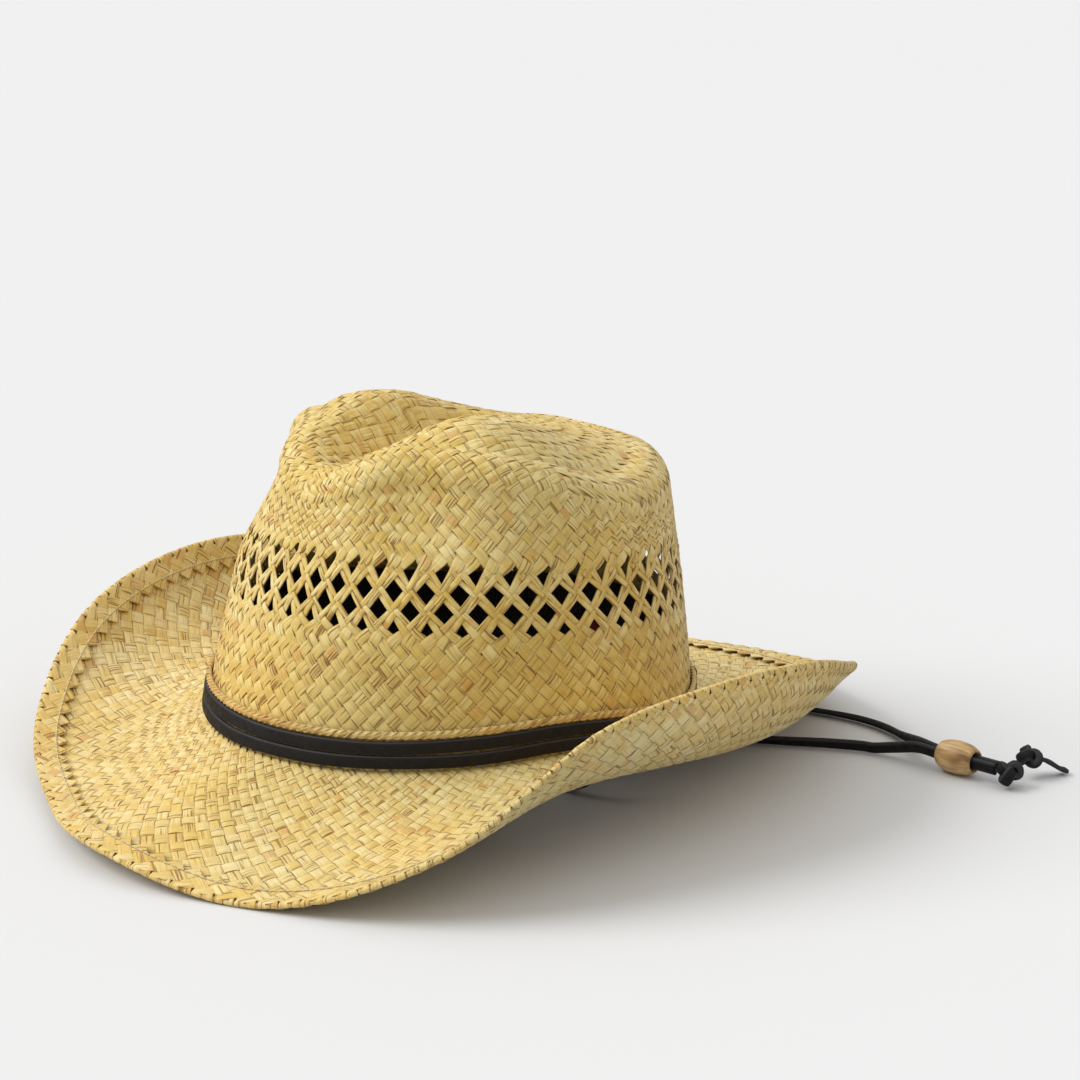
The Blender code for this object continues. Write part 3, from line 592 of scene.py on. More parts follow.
# %% Black leather
def leather(name, tone, edge_tone, edge_start=0.8, roughness=0.5):
    material, tree, shader = finish_called(name, roughness, specular=0.22)
    spot = place_on_piece(tree)
    across = add_node(tree, "ShaderNodeSeparateXYZ")
    tree.links.new(named(tree, "strap"), across.inputs[0])
    edge = calculated(tree, "ABSOLUTE", across.outputs[0])
    wear = noise(tree, spot, scale=420.0, detail=3.0)
    edge = calculated(tree, "ADD", edge, calculated(tree, "MULTIPLY", wear, 0.22))
    edge = ramp(tree, edge, ((edge_start, (0, 0, 0)), (min(edge_start + 0.22, 1.0), (1, 1, 1))))
    patches = ramp(
        tree, noise(tree, spot, scale=60.0), ((0.35, [v * 0.75 for v in tone]), (0.7, tone))
    )
    colour = mixed(tree, "MIX", edge, patches, (*edge_tone, 1.0))
    tree.links.new(colour, shader.inputs["Base Color"])
    pores = noise(tree, spot, scale=1500.0, detail=2.0)
    rough = ramp(tree, wear, ((0.3, (roughness - 0.1,) * 3), (0.75, (roughness + 0.25,) * 3)))
    tree.links.new(rough, shader.inputs["Roughness"])
    raised(tree, shader, calculated(tree, "ADD", pores, wear), 0.15 * MM, 0.6)
    return material


lace_leather = leather("black_lace_leather", (0.009, 0.007, 0.006), (0.040, 0.036, 0.036), 0.86, 0.6)
cord_leather = leather("black_cord_leather", (0.008, 0.007, 0.007), (0.030, 0.030, 0.032), 0.7, 0.65)


# %% Lay the two chin laces
def chin_lace(name, route, side, roll_places, roll_degrees):
    offset = bead_across * side * CORD_PITCH / 2
    run = [BEAD_CENTRE + offset + bead_axis * d for d in (-8 * MM, 0.0, 8 * MM, CORD_END)]
    run[-1] = run[-1] + bead_axis * 2.5 * MM      # its end lies inside the first knot
    places = [np.array(p) * MM for p in route] + run
    line, length = smooth_route(places, 150)
    line = on_ground(line)
    part = np.linspace(0.0, 1.0, len(line))
    roll = np.radians(through(roll_places, roll_degrees, part))
    section = strap_section(LACE_WIDTH, CHIN_LACE_THICKNESS)
    # A strap that lies flat is thinner than the round line of the design, so it rests lower.
    flat_height = CHIN_LACE_THICKNESS / 2 + LACE_WIDTH / 2 * np.abs(np.sin(roll)) * 0.9
    resting = line[:, 2] < 2.4 * MM
    line[resting, 2] = flat_height[resting]
    line[1:-1, 2] = (line[:-2, 2] + 2 * line[1:-1, 2] + line[2:, 2]) / 4
    rows = strap_rows(line, roll, section)
    lowest = rows[..., 2].min(1)
    rows[..., 2] += np.maximum(CLEAR_OF_GROUND - lowest, 0.0)[:, None]
    return laid_strap(name, rows, section, LACE_WIDTH, cord_leather), rows.mean(1), length


left_lace, left_path, left_length = chin_lace(
    "chin_cord_left_lace", LEFT_CORD_ROUTE, -1.0,
    (0.0, 0.12, 0.3, 0.45, 0.58, 0.75, 0.88, 1.0), (0.0, 0.0, 8.0, -6.0, 34.0, 62.0, 72.0, 80.0),
)
right_lace, right_path, right_length = chin_lace(
    "chin_cord_right_lace", RIGHT_CORD_ROUTE, 1.0,
    (0.0, 0.12, 0.3, 0.5, 0.65, 0.8, 0.9, 1.0), (0.0, 0.0, -8.0, 5.0, 22.0, 50.0, 66.0, 80.0),
)
print("laces are", round(left_length, 3), "and", round(right_length, 3), "m long")
declare(left_lace, "hat", "lace_leather", "chin_cord_left")
declare(right_lace, "hat", "lace_leather", "chin_cord_right")

# %% [markdown]
# ## The wooden bead
#
# A barrel bead is turned on a lathe and bored lengthwise. It is one profile carried round its
# axis, with a small radius where the bore opens. The grain runs along the axis, so the noise that
# colours it is stretched that way.

# %% Bead wood
def bead_wood():
    material, tree, shader = finish_called("turned_pale_wood", roughness=0.42)
    grain = named(tree, "grain")
    lines = noise(tree, stretched(tree, grain, (60.0, 900.0, 900.0)), detail=3.0)
    blotch = noise(tree, stretched(tree, grain, (70.0, 150.0, 150.0)), detail=1.0)
    colour = ramp(
        tree, blotch,
        ((0.40, (0.62, 0.42, 0.20)), (0.52, (0.48, 0.30, 0.12)), (0.66, (0.24, 0.13, 0.045))),
    )
    lines_tone = ramp(tree, lines, ((0.35, (0.62, 0.55, 0.45)), (0.6, (1, 1, 1))))
    tree.links.new(mixed(tree, "MULTIPLY", 0.8, colour, lines_tone), shader.inputs["Base Color"])
    rough = ramp(tree, lines, ((0.3, (0.55,) * 3), (0.7, (0.36,) * 3)))
    tree.links.new(rough, shader.inputs["Roughness"])
    raised(tree, shader, lines, 0.12 * MM, 0.5)
    return material


# %% Turn the bead
BEAD_LENGTH = 16 * MM
BEAD_RADIUS = 6.4 * MM
BEAD_END_RADIUS = 4.3 * MM
BEAD_BORE_RADIUS = 3.6 * MM
BEAD_SIDES = 56


def turned_bead():
    profile = []
    for along in np.linspace(-1.0, 1.0, 25):
        bulge = BEAD_END_RADIUS + (BEAD_RADIUS - BEAD_END_RADIUS) * (1.0 - along ** 2) ** 0.7
        profile.append((along * BEAD_LENGTH / 2, bulge))
    lip = 0.5 * MM
    profile.append((BEAD_LENGTH / 2, BEAD_BORE_RADIUS + lip))
    profile.append((BEAD_LENGTH / 2 - 0.3 * lip, BEAD_BORE_RADIUS + 0.3 * lip))
    for along in (1.0, 0.5, 0.0, -0.5, -1.0):
        profile.append((along * (BEAD_LENGTH / 2 - lip), BEAD_BORE_RADIUS))
    profile.append((-BEAD_LENGTH / 2 + 0.3 * lip, BEAD_BORE_RADIUS + 0.3 * lip))
    profile.append((-BEAD_LENGTH / 2, BEAD_BORE_RADIUS + lip))
    turn = (np.arange(BEAD_SIDES) + 0.5) * 2 * math.pi / BEAD_SIDES
    rows = np.array([
        np.stack([np.full(BEAD_SIDES, x), r * np.cos(turn), r * np.sin(turn)], -1)
        for x, r in profile
    ])
    own, faces = swept(rows, closed_run=True)
    middle = on_ground(BEAD_CENTRE)
    placed = middle + own[:, :1] * bead_axis + own[:, 1:2] * bead_across + own[:, 2:] * (0, 0, 1)
    return piece("chin_cord_bead", placed, faces, bead_wood(), attributes=[("grain", own)])


declare(turned_bead(), "bead", "bead_wood", "slider_bead")

# %% [markdown]
# ## The knots
#
# Behind the bead each end is pulled into an overhand knot. The strap runs as a three-lobed loop,
# pulled tight: the line of such a knot is a short formula, flattened and sized to the space of the
# design's knot. The free end of the last knot lies on the ground.

# %% Tie the knots
KNOT_STEPS = 150


def pulled_knot(name, node, turn, lift, strap):
    low, high = (np.array(corner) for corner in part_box(node))
    centre, size = (low + high) / 2, (high - low) / 2
    t = np.linspace(0.0, 2 * math.pi, KNOT_STEPS, endpoint=False)
    line = np.stack([np.sin(t) + 1.6 * np.sin(2 * t), np.cos(t) - 1.6 * np.cos(2 * t),
                     -1.3 * np.sin(3 * t)], -1)
    spin = np.array([[math.cos(turn), -math.sin(turn), 0], [math.sin(turn), math.cos(turn), 0],
                     [0, 0, 1]])
    lean = np.array([[1, 0, 0], [0, math.cos(lift), -math.sin(lift)],
                     [0, math.sin(lift), math.cos(lift)]])
    line = line @ (spin @ lean).T
    line /= np.abs(line).max(0)
    width, thickness = strap
    line *= size - 0.5 * thickness - 0.30 * width
    ahead = unit(np.roll(line, -1, 0) - np.roll(line, 1, 0))
    side = unit(np.cross(ahead, unit(line)))
    rise = np.cross(side, ahead)
    section = strap_section(width, thickness)
    rows = (line[:, None] + side[:, None] * section[None, :, 0, None]
            + rise[:, None] * section[None, :, 1, None])
    reach = np.abs(rows).max((0, 1))
    rows = rows * np.minimum(size / reach, 1.0) + centre
    made = laid_strap(name, rows, section, width, cord_leather, closed_run=True)
    return declare(made, "hat", "lace_leather", node)


inner_knot = pulled_knot("chin_cord_knot_inner", "cord_knot_inner", 0.5, 0.5, (4.8 * MM, 2.9 * MM))
outer_knot = pulled_knot("chin_cord_knot_outer", "cord_knot_outer", 1.9, 0.2, (4.6 * MM, 2.6 * MM))

# %% The free end
TAIL_WIDTH = 4.6 * MM
TAIL_PLACES = ((4.2, 7.4), (7.2, 6.6), (10.5, 4.6), (13.5, 2.6), (16.3, 1.5))     # out, up, in mm


def free_end():
    second = BEAD_CENTRE + bead_axis * KNOT_DISTANCE + bead_across * 13.8 * MM
    away = bead_axis * 0.53 + bead_across * 0.85
    places = []
    for distance, height in TAIL_PLACES:
        spot = second + away * distance * MM
        spot[2] = height * MM
        places.append(spot)
    line, _ = smooth_route(places, 24)
    section = strap_section(TAIL_WIDTH, 1.6 * MM)
    rows = strap_rows(on_ground(line), np.linspace(0.3, 0.0, 24), section)
    rows[..., 2] = np.maximum(rows[..., 2], CLEAR_OF_GROUND)
    return laid_strap("chin_cord_tail", rows, section, TAIL_WIDTH, cord_leather)


tail = declare(free_end(), "hat", "lace_leather", "cord_tail")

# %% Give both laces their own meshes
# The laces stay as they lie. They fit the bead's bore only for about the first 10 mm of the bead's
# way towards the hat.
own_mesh(left_lace)
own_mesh(right_lace)
tuple(left_path[0])
tuple(right_path[0])

# %% [markdown]
# ## Straw
#
# Each strand is a strip split from a dried leaf: pale gold, slightly green where it dried in the
# shade, orange where it browned, with fine lengthwise fibres and a soft shine. The finish reads
# the strand's own coordinates (across, along, which strand), so the fibres always run along it,
# and a random number for each crossing gives some crossings their own tone. Towards each strand's
# edges its colour is darkened: a painted shade where the strands meet.

# %% Straw finish
def straw(name, pale, gold, green=(0.50, 0.45, 0.20), orange_from=0.93, painted_edge_shade=0.55):
    material, tree, shader = finish_called(name, roughness=0.5, specular=0.55)
    shader.inputs["Sheen Weight"].default_value = 0.15
    strand = named(tree, "straw")
    spot = place_on_piece(tree)
    fibres = noise(tree, stretched(tree, strand, (2600.0, 70.0, 7.3)), detail=3.0, roughness=0.6)
    streaks = noise(tree, stretched(tree, strand, (700.0, 30.0, 3.1)), detail=1.0)
    patches = noise(tree, spot, scale=26.0, detail=2.0)
    shade = noise(tree, spot, scale=9.0, detail=1.0)
    chance = add_node(tree, "ShaderNodeTexWhiteNoise", noise_dimensions="3D")
    tree.links.new(named(tree, "crossing"), chance.inputs["Vector"])
    mix = calculated(tree, "ADD", calculated(tree, "MULTIPLY", chance.outputs["Value"], 0.45),
                     calculated(tree, "MULTIPLY", patches, 0.55))
    mix = calculated(tree, "ADD", mix, calculated(tree, "MULTIPLY", streaks, 0.35))
    colour = ramp(tree, mix, ((0.38, pale), (0.82, gold)))
    greenish = ramp(tree, shade, ((0.48, (0, 0, 0)), (0.72, (0.55, 0.55, 0.55))))
    colour = mixed(tree, "MIX", greenish, colour, (*green, 1.0))
    second = add_node(tree, "ShaderNodeTexWhiteNoise", noise_dimensions="3D")
    tree.links.new(stretched(tree, named(tree, "crossing"), (3.0, 5.0, 7.0)), second.inputs["Vector"])
    browned = ramp(tree, second.outputs["Value"],
                   ((orange_from, (0, 0, 0)), (min(orange_from + 0.05, 1.0), (0.75, 0.75, 0.75))))
    colour = mixed(tree, "MIX", browned, colour, (0.60, 0.31, 0.06, 1.0))
    lines = ramp(tree, fibres, ((0.30, (0.62, 0.50, 0.34)), (0.45, (0.94, 0.91, 0.86)),
                                (0.75, (1.05, 1.05, 1.03))))
    colour = mixed(tree, "MULTIPLY", 1.0, colour, lines)
    splits = noise(tree, stretched(tree, strand, (1150.0, 45.0, 5.3)), detail=1.0)
    split_tone = ramp(tree, splits, ((0.315, (0.52, 0.37, 0.16)), (0.37, (1, 1, 1))))
    colour = mixed(tree, "MULTIPLY", 1.0, colour, split_tone)
    # Painted shade: the colour darkens towards each strand's edges, where it meets its neighbours.
    across = add_node(tree, "ShaderNodeSeparateXYZ")
    tree.links.new(named(tree, "section"), across.inputs[0])
    edge = calculated(tree, "POWER", calculated(tree, "ABSOLUTE", across.outputs[0]), 6.0)
    edge = ramp(tree, edge, ((0.25, (1, 1, 1)), (1.0, (painted_edge_shade, painted_edge_shade * 0.82, painted_edge_shade * 0.6))))
    colour = mixed(tree, "MULTIPLY", 1.0, colour, edge)
    tree.links.new(colour, shader.inputs["Base Color"])
    rough = ramp(tree, fibres, ((0.3, (0.72,) * 3), (0.7, (0.46,) * 3)))
    tree.links.new(rough, shader.inputs["Roughness"])
    relief = calculated(tree, "ADD", fibres, calculated(tree, "MULTIPLY", streaks, 0.8))
    cracks = ramp(tree, splits, ((0.30, (0, 0, 0)), (0.39, (1, 1, 1))))
    raised(tree, shader, calculated(tree, "ADD", relief, cracks), 0.30 * MM, 0.9)
    return material


PALE_STRAW = (0.84, 0.71, 0.33)
GOLD_STRAW = (0.66, 0.46, 0.085)
straw_finishes = {
    "tip": straw("straw_tip", PALE_STRAW, GOLD_STRAW),
    "wall": straw("straw_wall", PALE_STRAW, GOLD_STRAW),
    "vents": straw("straw_vents", PALE_STRAW, GOLD_STRAW),
    "foot": straw("straw_foot", (0.81, 0.65, 0.23), (0.66, 0.44, 0.08)),
    "twining": straw("straw_twining", (0.74, 0.55, 0.20), (0.60, 0.37, 0.08), orange_from=0.85),
    "brim": straw("straw_brim", (0.86, 0.74, 0.40), (0.72, 0.51, 0.12)),
    "hem": straw("straw_hem", (0.84, 0.70, 0.34), (0.70, 0.48, 0.10), orange_from=0.9),
}

# %% [markdown]
# ## Weaving with Geometry Nodes
#
# A strand is a line of places that runs over one strand and under the next. The node tree lifts
# the line over and under, lays it as a curve whose normal is the hat's surface, carries a thin
# section along it, and gives the section its thickness afterwards, so a strand can be wide and
# thin. The section has two shallow grooves, as split leaf has. Modelling each strand by hand is
# not possible, and a bump pattern would leave the edge of the brim and the openings flat.

# %% The tree that turns lines into strands
SECTION_POINTS = 12


def dress(tree, geometry, material, end):
    """The last two nodes of a tree: real geometry, with its finish."""
    real = add_node(tree, "GeometryNodeRealizeInstances")
    tree.links.new(geometry, real.inputs["Geometry"])
    dressed = add_node(tree, "GeometryNodeSetMaterial")
    dressed.inputs["Material"].default_value = material
    tree.links.new(real.outputs["Geometry"], dressed.inputs["Geometry"])
    tree.links.new(dressed.outputs["Geometry"], end.inputs["Geometry"])


def weaving_tree(material):
    tree = bpy.data.node_groups.new("woven_strands", "GeometryNodeTree")
    face = tree.interface
    face.new_socket("Geometry", in_out="INPUT", socket_type="NodeSocketGeometry")
    for label, value in (("Lift", 0.34 * MM), ("Groove", 0.25), ("Flatness", 0.6)):
        made = face.new_socket(label, in_out="INPUT", socket_type="NodeSocketFloat")
        made.default_value = value
    face.new_socket("Geometry", in_out="OUTPUT", socket_type="NodeSocketGeometry")
    start = add_node(tree, "NodeGroupInput")
    end = add_node(tree, "NodeGroupOutput")

    def read(label, kind="FLOAT"):
        made = add_node(tree, "GeometryNodeInputNamedAttribute", data_type=kind)
        made.inputs["Name"].default_value = label
        return made.outputs["Attribute"]

    def maths(operation, *values):
        return calculated(tree, operation, *values)

    def scaled(vector, amount):
        made = add_node(tree, "ShaderNodeVectorMath", operation="SCALE")
        tree.links.new(vector, made.inputs[0])
        tree.links.new(amount, made.inputs["Scale"])
        return made.outputs[0]

    def moved(geometry, offset):
        made = add_node(tree, "GeometryNodeSetPosition")
        tree.links.new(geometry, made.inputs["Geometry"])
        tree.links.new(offset, made.inputs["Offset"])
        return made.outputs["Geometry"]

    def store(geometry, label, value, kind="FLOAT"):
        made = add_node(tree, "GeometryNodeStoreNamedAttribute", data_type=kind, domain="POINT")
        made.inputs["Name"].default_value = label
        tree.links.new(geometry, made.inputs["Geometry"])
        tree.links.new(value, made.inputs["Value"])
        return made.outputs["Geometry"]

    # The strand's line, lifted over and under its crossings.
    outward = read("outward", "FLOAT_VECTOR")
    lifted = moved(start.outputs["Geometry"], scaled(outward, maths("MULTIPLY", read("over"),
                                                                   start.outputs["Lift"])))
    line = add_node(tree, "GeometryNodeMeshToCurve")
    tree.links.new(lifted, line.inputs["Mesh"])
    facing = add_node(tree, "GeometryNodeSetCurveNormal", mode="FREE")
    tree.links.new(line.outputs["Curve"], facing.inputs["Curve"])
    tree.links.new(outward, facing.inputs["Normal"])

    # The section: a flattened round with two grooves, kept flat until it is carried along.
    circle = add_node(tree, "GeometryNodeCurvePrimitiveCircle", mode="RADIUS")
    circle.inputs["Resolution"].default_value = SECTION_POINTS
    circle.inputs["Radius"].default_value = 1.0
    spot = add_node(tree, "ShaderNodeSeparateXYZ")
    tree.links.new(add_node(tree, "GeometryNodeInputPosition").outputs[0], spot.inputs[0])
    x, y = spot.outputs[1], spot.outputs[0]     # the section's first axis is the line's normal
    full = maths("POWER", maths("ABSOLUTE", y), start.outputs["Flatness"])
    dip = maths("SUBTRACT", 1.0, maths("COSINE", maths("MULTIPLY", x, 2 * math.pi)))
    dip = maths("SUBTRACT", 1.0, maths("MULTIPLY", maths("MULTIPLY", dip, 0.5),
                                       start.outputs["Groove"]))
    rise = maths("MULTIPLY", maths("MULTIPLY", full, dip), maths("SIGN", y))
    ring = store(circle.outputs["Curve"], "across", x)
    ring = store(ring, "rise", rise)
    flat = add_node(tree, "ShaderNodeCombineXYZ")
    tree.links.new(maths("MULTIPLY", y, -1.0), flat.inputs[0])
    ring = moved(ring, flat.outputs[0])

    carried = add_node(tree, "GeometryNodeCurveToMesh")
    tree.links.new(facing.outputs["Curve"], carried.inputs["Curve"])
    tree.links.new(ring, carried.inputs["Profile Curve"])
    tree.links.new(read("half_width"), carried.inputs["Scale"])
    carried.inputs["Fill Caps"].default_value = True
    thick = moved(carried.outputs["Mesh"],
                  scaled(outward, maths("MULTIPLY", read("rise"), read("half_thick"))))

    # Coordinates for the finish: the strand's own, the place in its section, and its crossing.
    own = add_node(tree, "ShaderNodeCombineXYZ")
    tree.links.new(maths("MULTIPLY", read("across"), read("half_width")), own.inputs[0])
    tree.links.new(read("along"), own.inputs[1])
    tree.links.new(read("strand"), own.inputs[2])
    marked = store(thick, "straw", own.outputs[0], "FLOAT_VECTOR")
    section = add_node(tree, "ShaderNodeCombineXYZ")
    tree.links.new(read("across"), section.inputs[0])
    tree.links.new(read("rise"), section.inputs[1])
    marked = store(marked, "section", section.outputs[0], "FLOAT_VECTOR")
    place = add_node(tree, "ShaderNodeCombineXYZ")
    tree.links.new(maths("FLOOR", maths("ADD", read("step"), 0.5)), place.inputs[0])
    tree.links.new(read("strand"), place.inputs[1])
    marked = store(marked, "crossing", place.outputs[0], "FLOAT_VECTOR")

    dress(tree, marked, material, end)
    return tree


def set_input(modifier, label, value):
    for item in modifier.node_group.interface.items_tree:
        if item.item_type == "SOCKET" and item.in_out == "INPUT" and item.name == label:
            modifier[item.identifier] = value


def made_plain(made, finish, smooth):
    """The modifier's result as the piece's own mesh, with its faces turned outwards."""
    lines = made.data
    bpy.context.view_layer.update()
    graph = bpy.context.evaluated_depsgraph_get()
    plain = bpy.data.meshes.new_from_object(made.evaluated_get(graph), depsgraph=graph)
    made.modifiers.clear()
    made.data = plain
    bpy.data.meshes.remove(lines)
    work = bmesh.new()
    work.from_mesh(plain)
    bmesh.ops.recalc_face_normals(work, faces=work.faces)
    for face in work.faces:
        face.smooth = smooth(face)
    work.to_mesh(plain)
    work.free()
    if not plain.materials:
        plain.materials.append(finish)
    return plain


# %% From strands to a plain woven mesh
def woven(name, strands, finish, **sizes):
    """Each strand is a dict of arrays: line, outward, over, half_width, half_thick, step, strand."""
    lengths = [len(s["line"]) for s in strands]
    points = np.concatenate([s["line"] for s in strands])
    starts = np.cumsum([0] + lengths[:-1])
    edges = np.concatenate([
        np.stack([np.arange(n - 1) + a, np.arange(1, n) + a], -1) for a, n in zip(starts, lengths)
    ])
    mesh = bpy.data.meshes.new(name)
    mesh.vertices.add(len(points))
    mesh.vertices.foreach_set("co", points.astype(np.float32).ravel())
    mesh.edges.add(len(edges))
    mesh.edges.foreach_set("vertices", edges.astype(np.int32).ravel())
    layer = mesh.attributes.new("outward", "FLOAT_VECTOR", "POINT")
    outward = np.concatenate([s["outward"] for s in strands])
    layer.data.foreach_set("vector", outward.astype(np.float32).ravel())
    for s in strands:
        s["along"] = run_along(s["line"])
        s["strand"] = np.full(len(s["line"]), float(s["number"]))
    for label in ("over", "half_width", "half_thick", "along", "step", "strand"):
        values = np.concatenate([s[label] for s in strands]).astype(np.float32)
        layer = mesh.attributes.new(label, "FLOAT", "POINT")
        layer.data.foreach_set("value", values)
    made = bpy.data.objects.new(name, mesh)
    bpy.context.scene.collection.objects.link(made)
    modifier = made.modifiers.new("weaving", "NODES")
    modifier.node_group = weaving_tree(finish)
    for label, value in sizes.items():
        set_input(modifier, label, value)
    plain = made_plain(made, finish, lambda face: len(face.verts) == 4)
    for label in ("outward", "over", "half_width", "half_thick", "along", "step", "strand",
                  "across", "rise"):
        if label in plain.attributes:
            plain.attributes.remove(plain.attributes[label])
    print(name, len(strands), "strands")
    return made


# %% [markdown]
# ## The crown's strand plan
#
# The crown has 84 strands leaning each way. On the wall they lie on a slanted grid: going down one
# row moves a strand half a place round the hat. On the tip the same strands make a square grid of
# 42 by 42, whose corners are spread to fill the oval, so every strand of the wall runs on over the
# tip and comes down again. A strand that leans one way is on top in every even row.

# %% Rows and places on the crown
CROWN_STRANDS = 84
TIP_ROWS = CROWN_STRANDS // 4          # rows of the tip's grid, from its middle to its corner
RIM_ROW = TIP_ROWS + 1
WALL_ROWS = 7                          # rows between the rim and the openwork
VENT_FIRST = RIM_ROW + WALL_ROWS       # row where the openwork begins
VENT_MIDDLE = VENT_FIRST + 4
ROW_HEIGHT = 3.5 * MM
RIM_SHARE = 0.27                       # part of the tip's radius that rounds over the rim
STEPS = 4                              # places on a strand from one crossing to the next
FILL = 0.985
STRAND_HALF_THICK = 0.30 * MM


def crown_angle(place):
    return (place - 0.5) * 2 * math.pi / CROWN_STRANDS


def crown_place(row, place):
    """A point of the crown's outer surface; rows count down from the middle of the tip."""
    row, place = np.broadcast_arrays(np.asarray(row, float), np.asarray(place, float))
    angle = crown_angle(place)
    lean, radius, pinch, top = crown_rim(angle)
    middle = vent_middle(angle)
    k = VENT_MIDDLE - row
    upper = middle + VENT_HALF_HEIGHT
    high = upper + (top - radius - upper) * (k - 4) / WALL_ROWS
    height = np.where(k > 4, high, middle + ROW_HEIGHT * k)
    wall = crown_wall(angle, height)
    reach = np.clip(row / RIM_ROW, 0.0, 1.0)
    part = np.where(reach > 1 - RIM_SHARE, (1 - reach) / RIM_SHARE,
                    2.0 - reach / (1 - RIM_SHARE))
    tip = crown_top(angle, part)
    return np.where((row < RIM_ROW)[..., None], tip, wall)


def tip_grid(i, j):
    """A point of the tip from its square grid: i and j count strands from the middle."""
    i, j = np.broadcast_arrays(np.asarray(i, float), np.asarray(j, float))
    row = np.abs(i) + np.abs(j)
    safe = np.maximum(row, 1e-9)
    quadrant = np.where(j >= 0, np.where(i >= 0, 0, 1), np.where(i < 0, 2, 3))
    share = np.where(quadrant % 2 == 0, np.abs(j), np.abs(i)) / safe
    spread = (quadrant + share) * math.pi / 2
    square = np.stack([i, j], -1) * math.sqrt(math.pi / 2)
    rounded = np.stack([row * np.cos(spread), row * np.sin(spread)], -1)
    weight = ease(row, 0.0, TIP_ROWS - 1.0)[..., None]
    flat = square * (1 - weight) + rounded * weight
    out = np.linalg.norm(flat, axis=-1)
    turn = np.arctan2(flat[..., 1], flat[..., 0])
    return crown_place(out, turn / (2 * math.pi) * CROWN_STRANDS)


# %% A strand from a function of its place
def wobble(number, step, size):
    """A small repeatable unevenness for a strand."""
    source = np.random.default_rng(number + 1000)
    return np.interp(step % 60.0, np.linspace(0, 60, 41), source.uniform(-size, size, 41))


def strand_on(surface, step, over, number, thin=1.0, thick=1.0, depth=WEAVE_THICKNESS / 2):
    """surface(along, aside) gives a point; aside moves to the next strand of the same family."""
    fine = 0.08
    here = surface(step, 0.0)
    ahead = (surface(step + fine, 0.0) - surface(step - fine, 0.0)) / (2 * fine)
    aside = (surface(step, fine) - surface(step, -fine)) / (2 * fine)
    cross = np.cross(ahead, aside)
    area = np.linalg.norm(cross, axis=-1)
    outward = cross / np.maximum(area, 1e-12)[..., None]
    pitch = area / np.linalg.norm(ahead, axis=-1)
    return {
        "line": stand_up(here, outward, depth), "outward": tilt(outward),
        "over": over * (1.0 + wobble(number + 7, step, 0.22)),
        "half_width": pitch / 2 * FILL * thin * (1.0 + wobble(number, step, 0.085)),
        "half_thick": np.full(len(step), STRAND_HALF_THICK) * thick,
        "step": step, "number": number,
    }


def stand_up(points, outward, depth):
    return stand(points - outward * depth)


# %% [markdown]
# ### The tip
#
# The tip's strands run straight across the middle, front to back and side to side, and fan out
# towards the rim. They end one row below the rim, each one where it passes under another, so the
# join with the wall never shows.

# %% Weave the tip
def strand_number(upright, index):
    """Number of a tip strand: 0 to 41 run front to back, 42 to 83 side to side."""
    return int(round(index + TIP_ROWS - 0.5)) + (0 if upright else 2 * TIP_ROWS)


def tip_strands():
    strands = []
    for upright in (True, False):
        for fixed in np.arange(-TIP_ROWS + 0.5, TIP_ROWS, 1.0):
            reach = TIP_ROWS - abs(fixed)
            count = int(round(2 * reach * STEPS)) + 1
            t = np.linspace(-reach, reach, count)

            def inner(along, aside, fixed=fixed, upright=upright):
                if upright:
                    return tip_grid(fixed - aside, along)
                return tip_grid(along, fixed + aside)

            over = np.cos(np.pi * (fixed + t)) * (1.0 if upright else -1.0)
            middle = strand_on(inner, t, over, strand_number(upright, fixed))
            ends = []
            for end in (-1.0, 1.0):
                i, j = (fixed, end * reach) if upright else (end * reach, fixed)
                ends.append(rim_end(i, j, upright, middle["number"], end))
            strands.append(joined(ends[0], middle, ends[1]))
    return strands


def rim_end(i, j, upright, number, end):
    """The last stretch of a tip strand, over the rim and one or two rows down the wall."""
    quadrant = (0 if i > 0 else 1) if j > 0 else (2 if i < 0 else 3)
    share = abs(j) if quadrant % 2 == 0 else abs(i)
    turning = 1.0 if upright == (quadrant % 2 == 0) else -1.0
    last = RIM_ROW + 1 if turning > 0 else RIM_ROW
    row = np.arange(TIP_ROWS + 1.0 / STEPS, last + 1e-6, 1.0 / STEPS)
    first_place = quadrant * TIP_ROWS + share

    def surface(along, aside):
        return crown_place(along, first_place + turning * (along - TIP_ROWS) / 2 - aside * turning)

    over = np.cos(np.pi * row) * turning
    part = strand_on(surface, row, over, number)
    part["step"] = end * (part["step"] + 30.0)
    if end < 0:
        part = {k: (v[::-1] if isinstance(v, np.ndarray) else v) for k, v in part.items()}
    return part


def joined(*parts):
    parts = [p for p in parts if len(p["line"])]
    return {
        k: (np.concatenate([p[k] for p in parts]) if isinstance(v, np.ndarray) else v)
        for k, v in parts[0].items()
    }


def facing_out(strands):
    """Every strand's normals point away from a point deep inside the crown."""
    inside = stand(np.array([0.0, 0.0, 30 * MM]))
    for s in strands:
        away = s["line"] - inside
        flip = np.sign((s["outward"] * away).sum(-1, keepdims=True))
        flipped = s["outward"] * np.where(flip == 0, 1, flip)
        s["line"] = s["line"] + (s["outward"] - flipped) * WEAVE_THICKNESS / 2
        s["outward"] = flipped
    return strands


tip_piece = woven("woven_crown_tip", facing_out(tip_strands()), straw_finishes["tip"])
declare(tip_piece, "hat", "straw_tip", "crown_tip")


# %% [markdown]
# ### The wall and the openwork
#
# Below the rim the strands run down the wall on the slanted grid. In the openwork the crossings
# are drawn together in groups of four, which leaves a six-sided opening between the groups, and the
# strands are narrow and round there. The outer two rows are drawn together less, so their openings
# are small. Cutting holes in a woven sheet would leave cut ends, which the real band doesn't have.

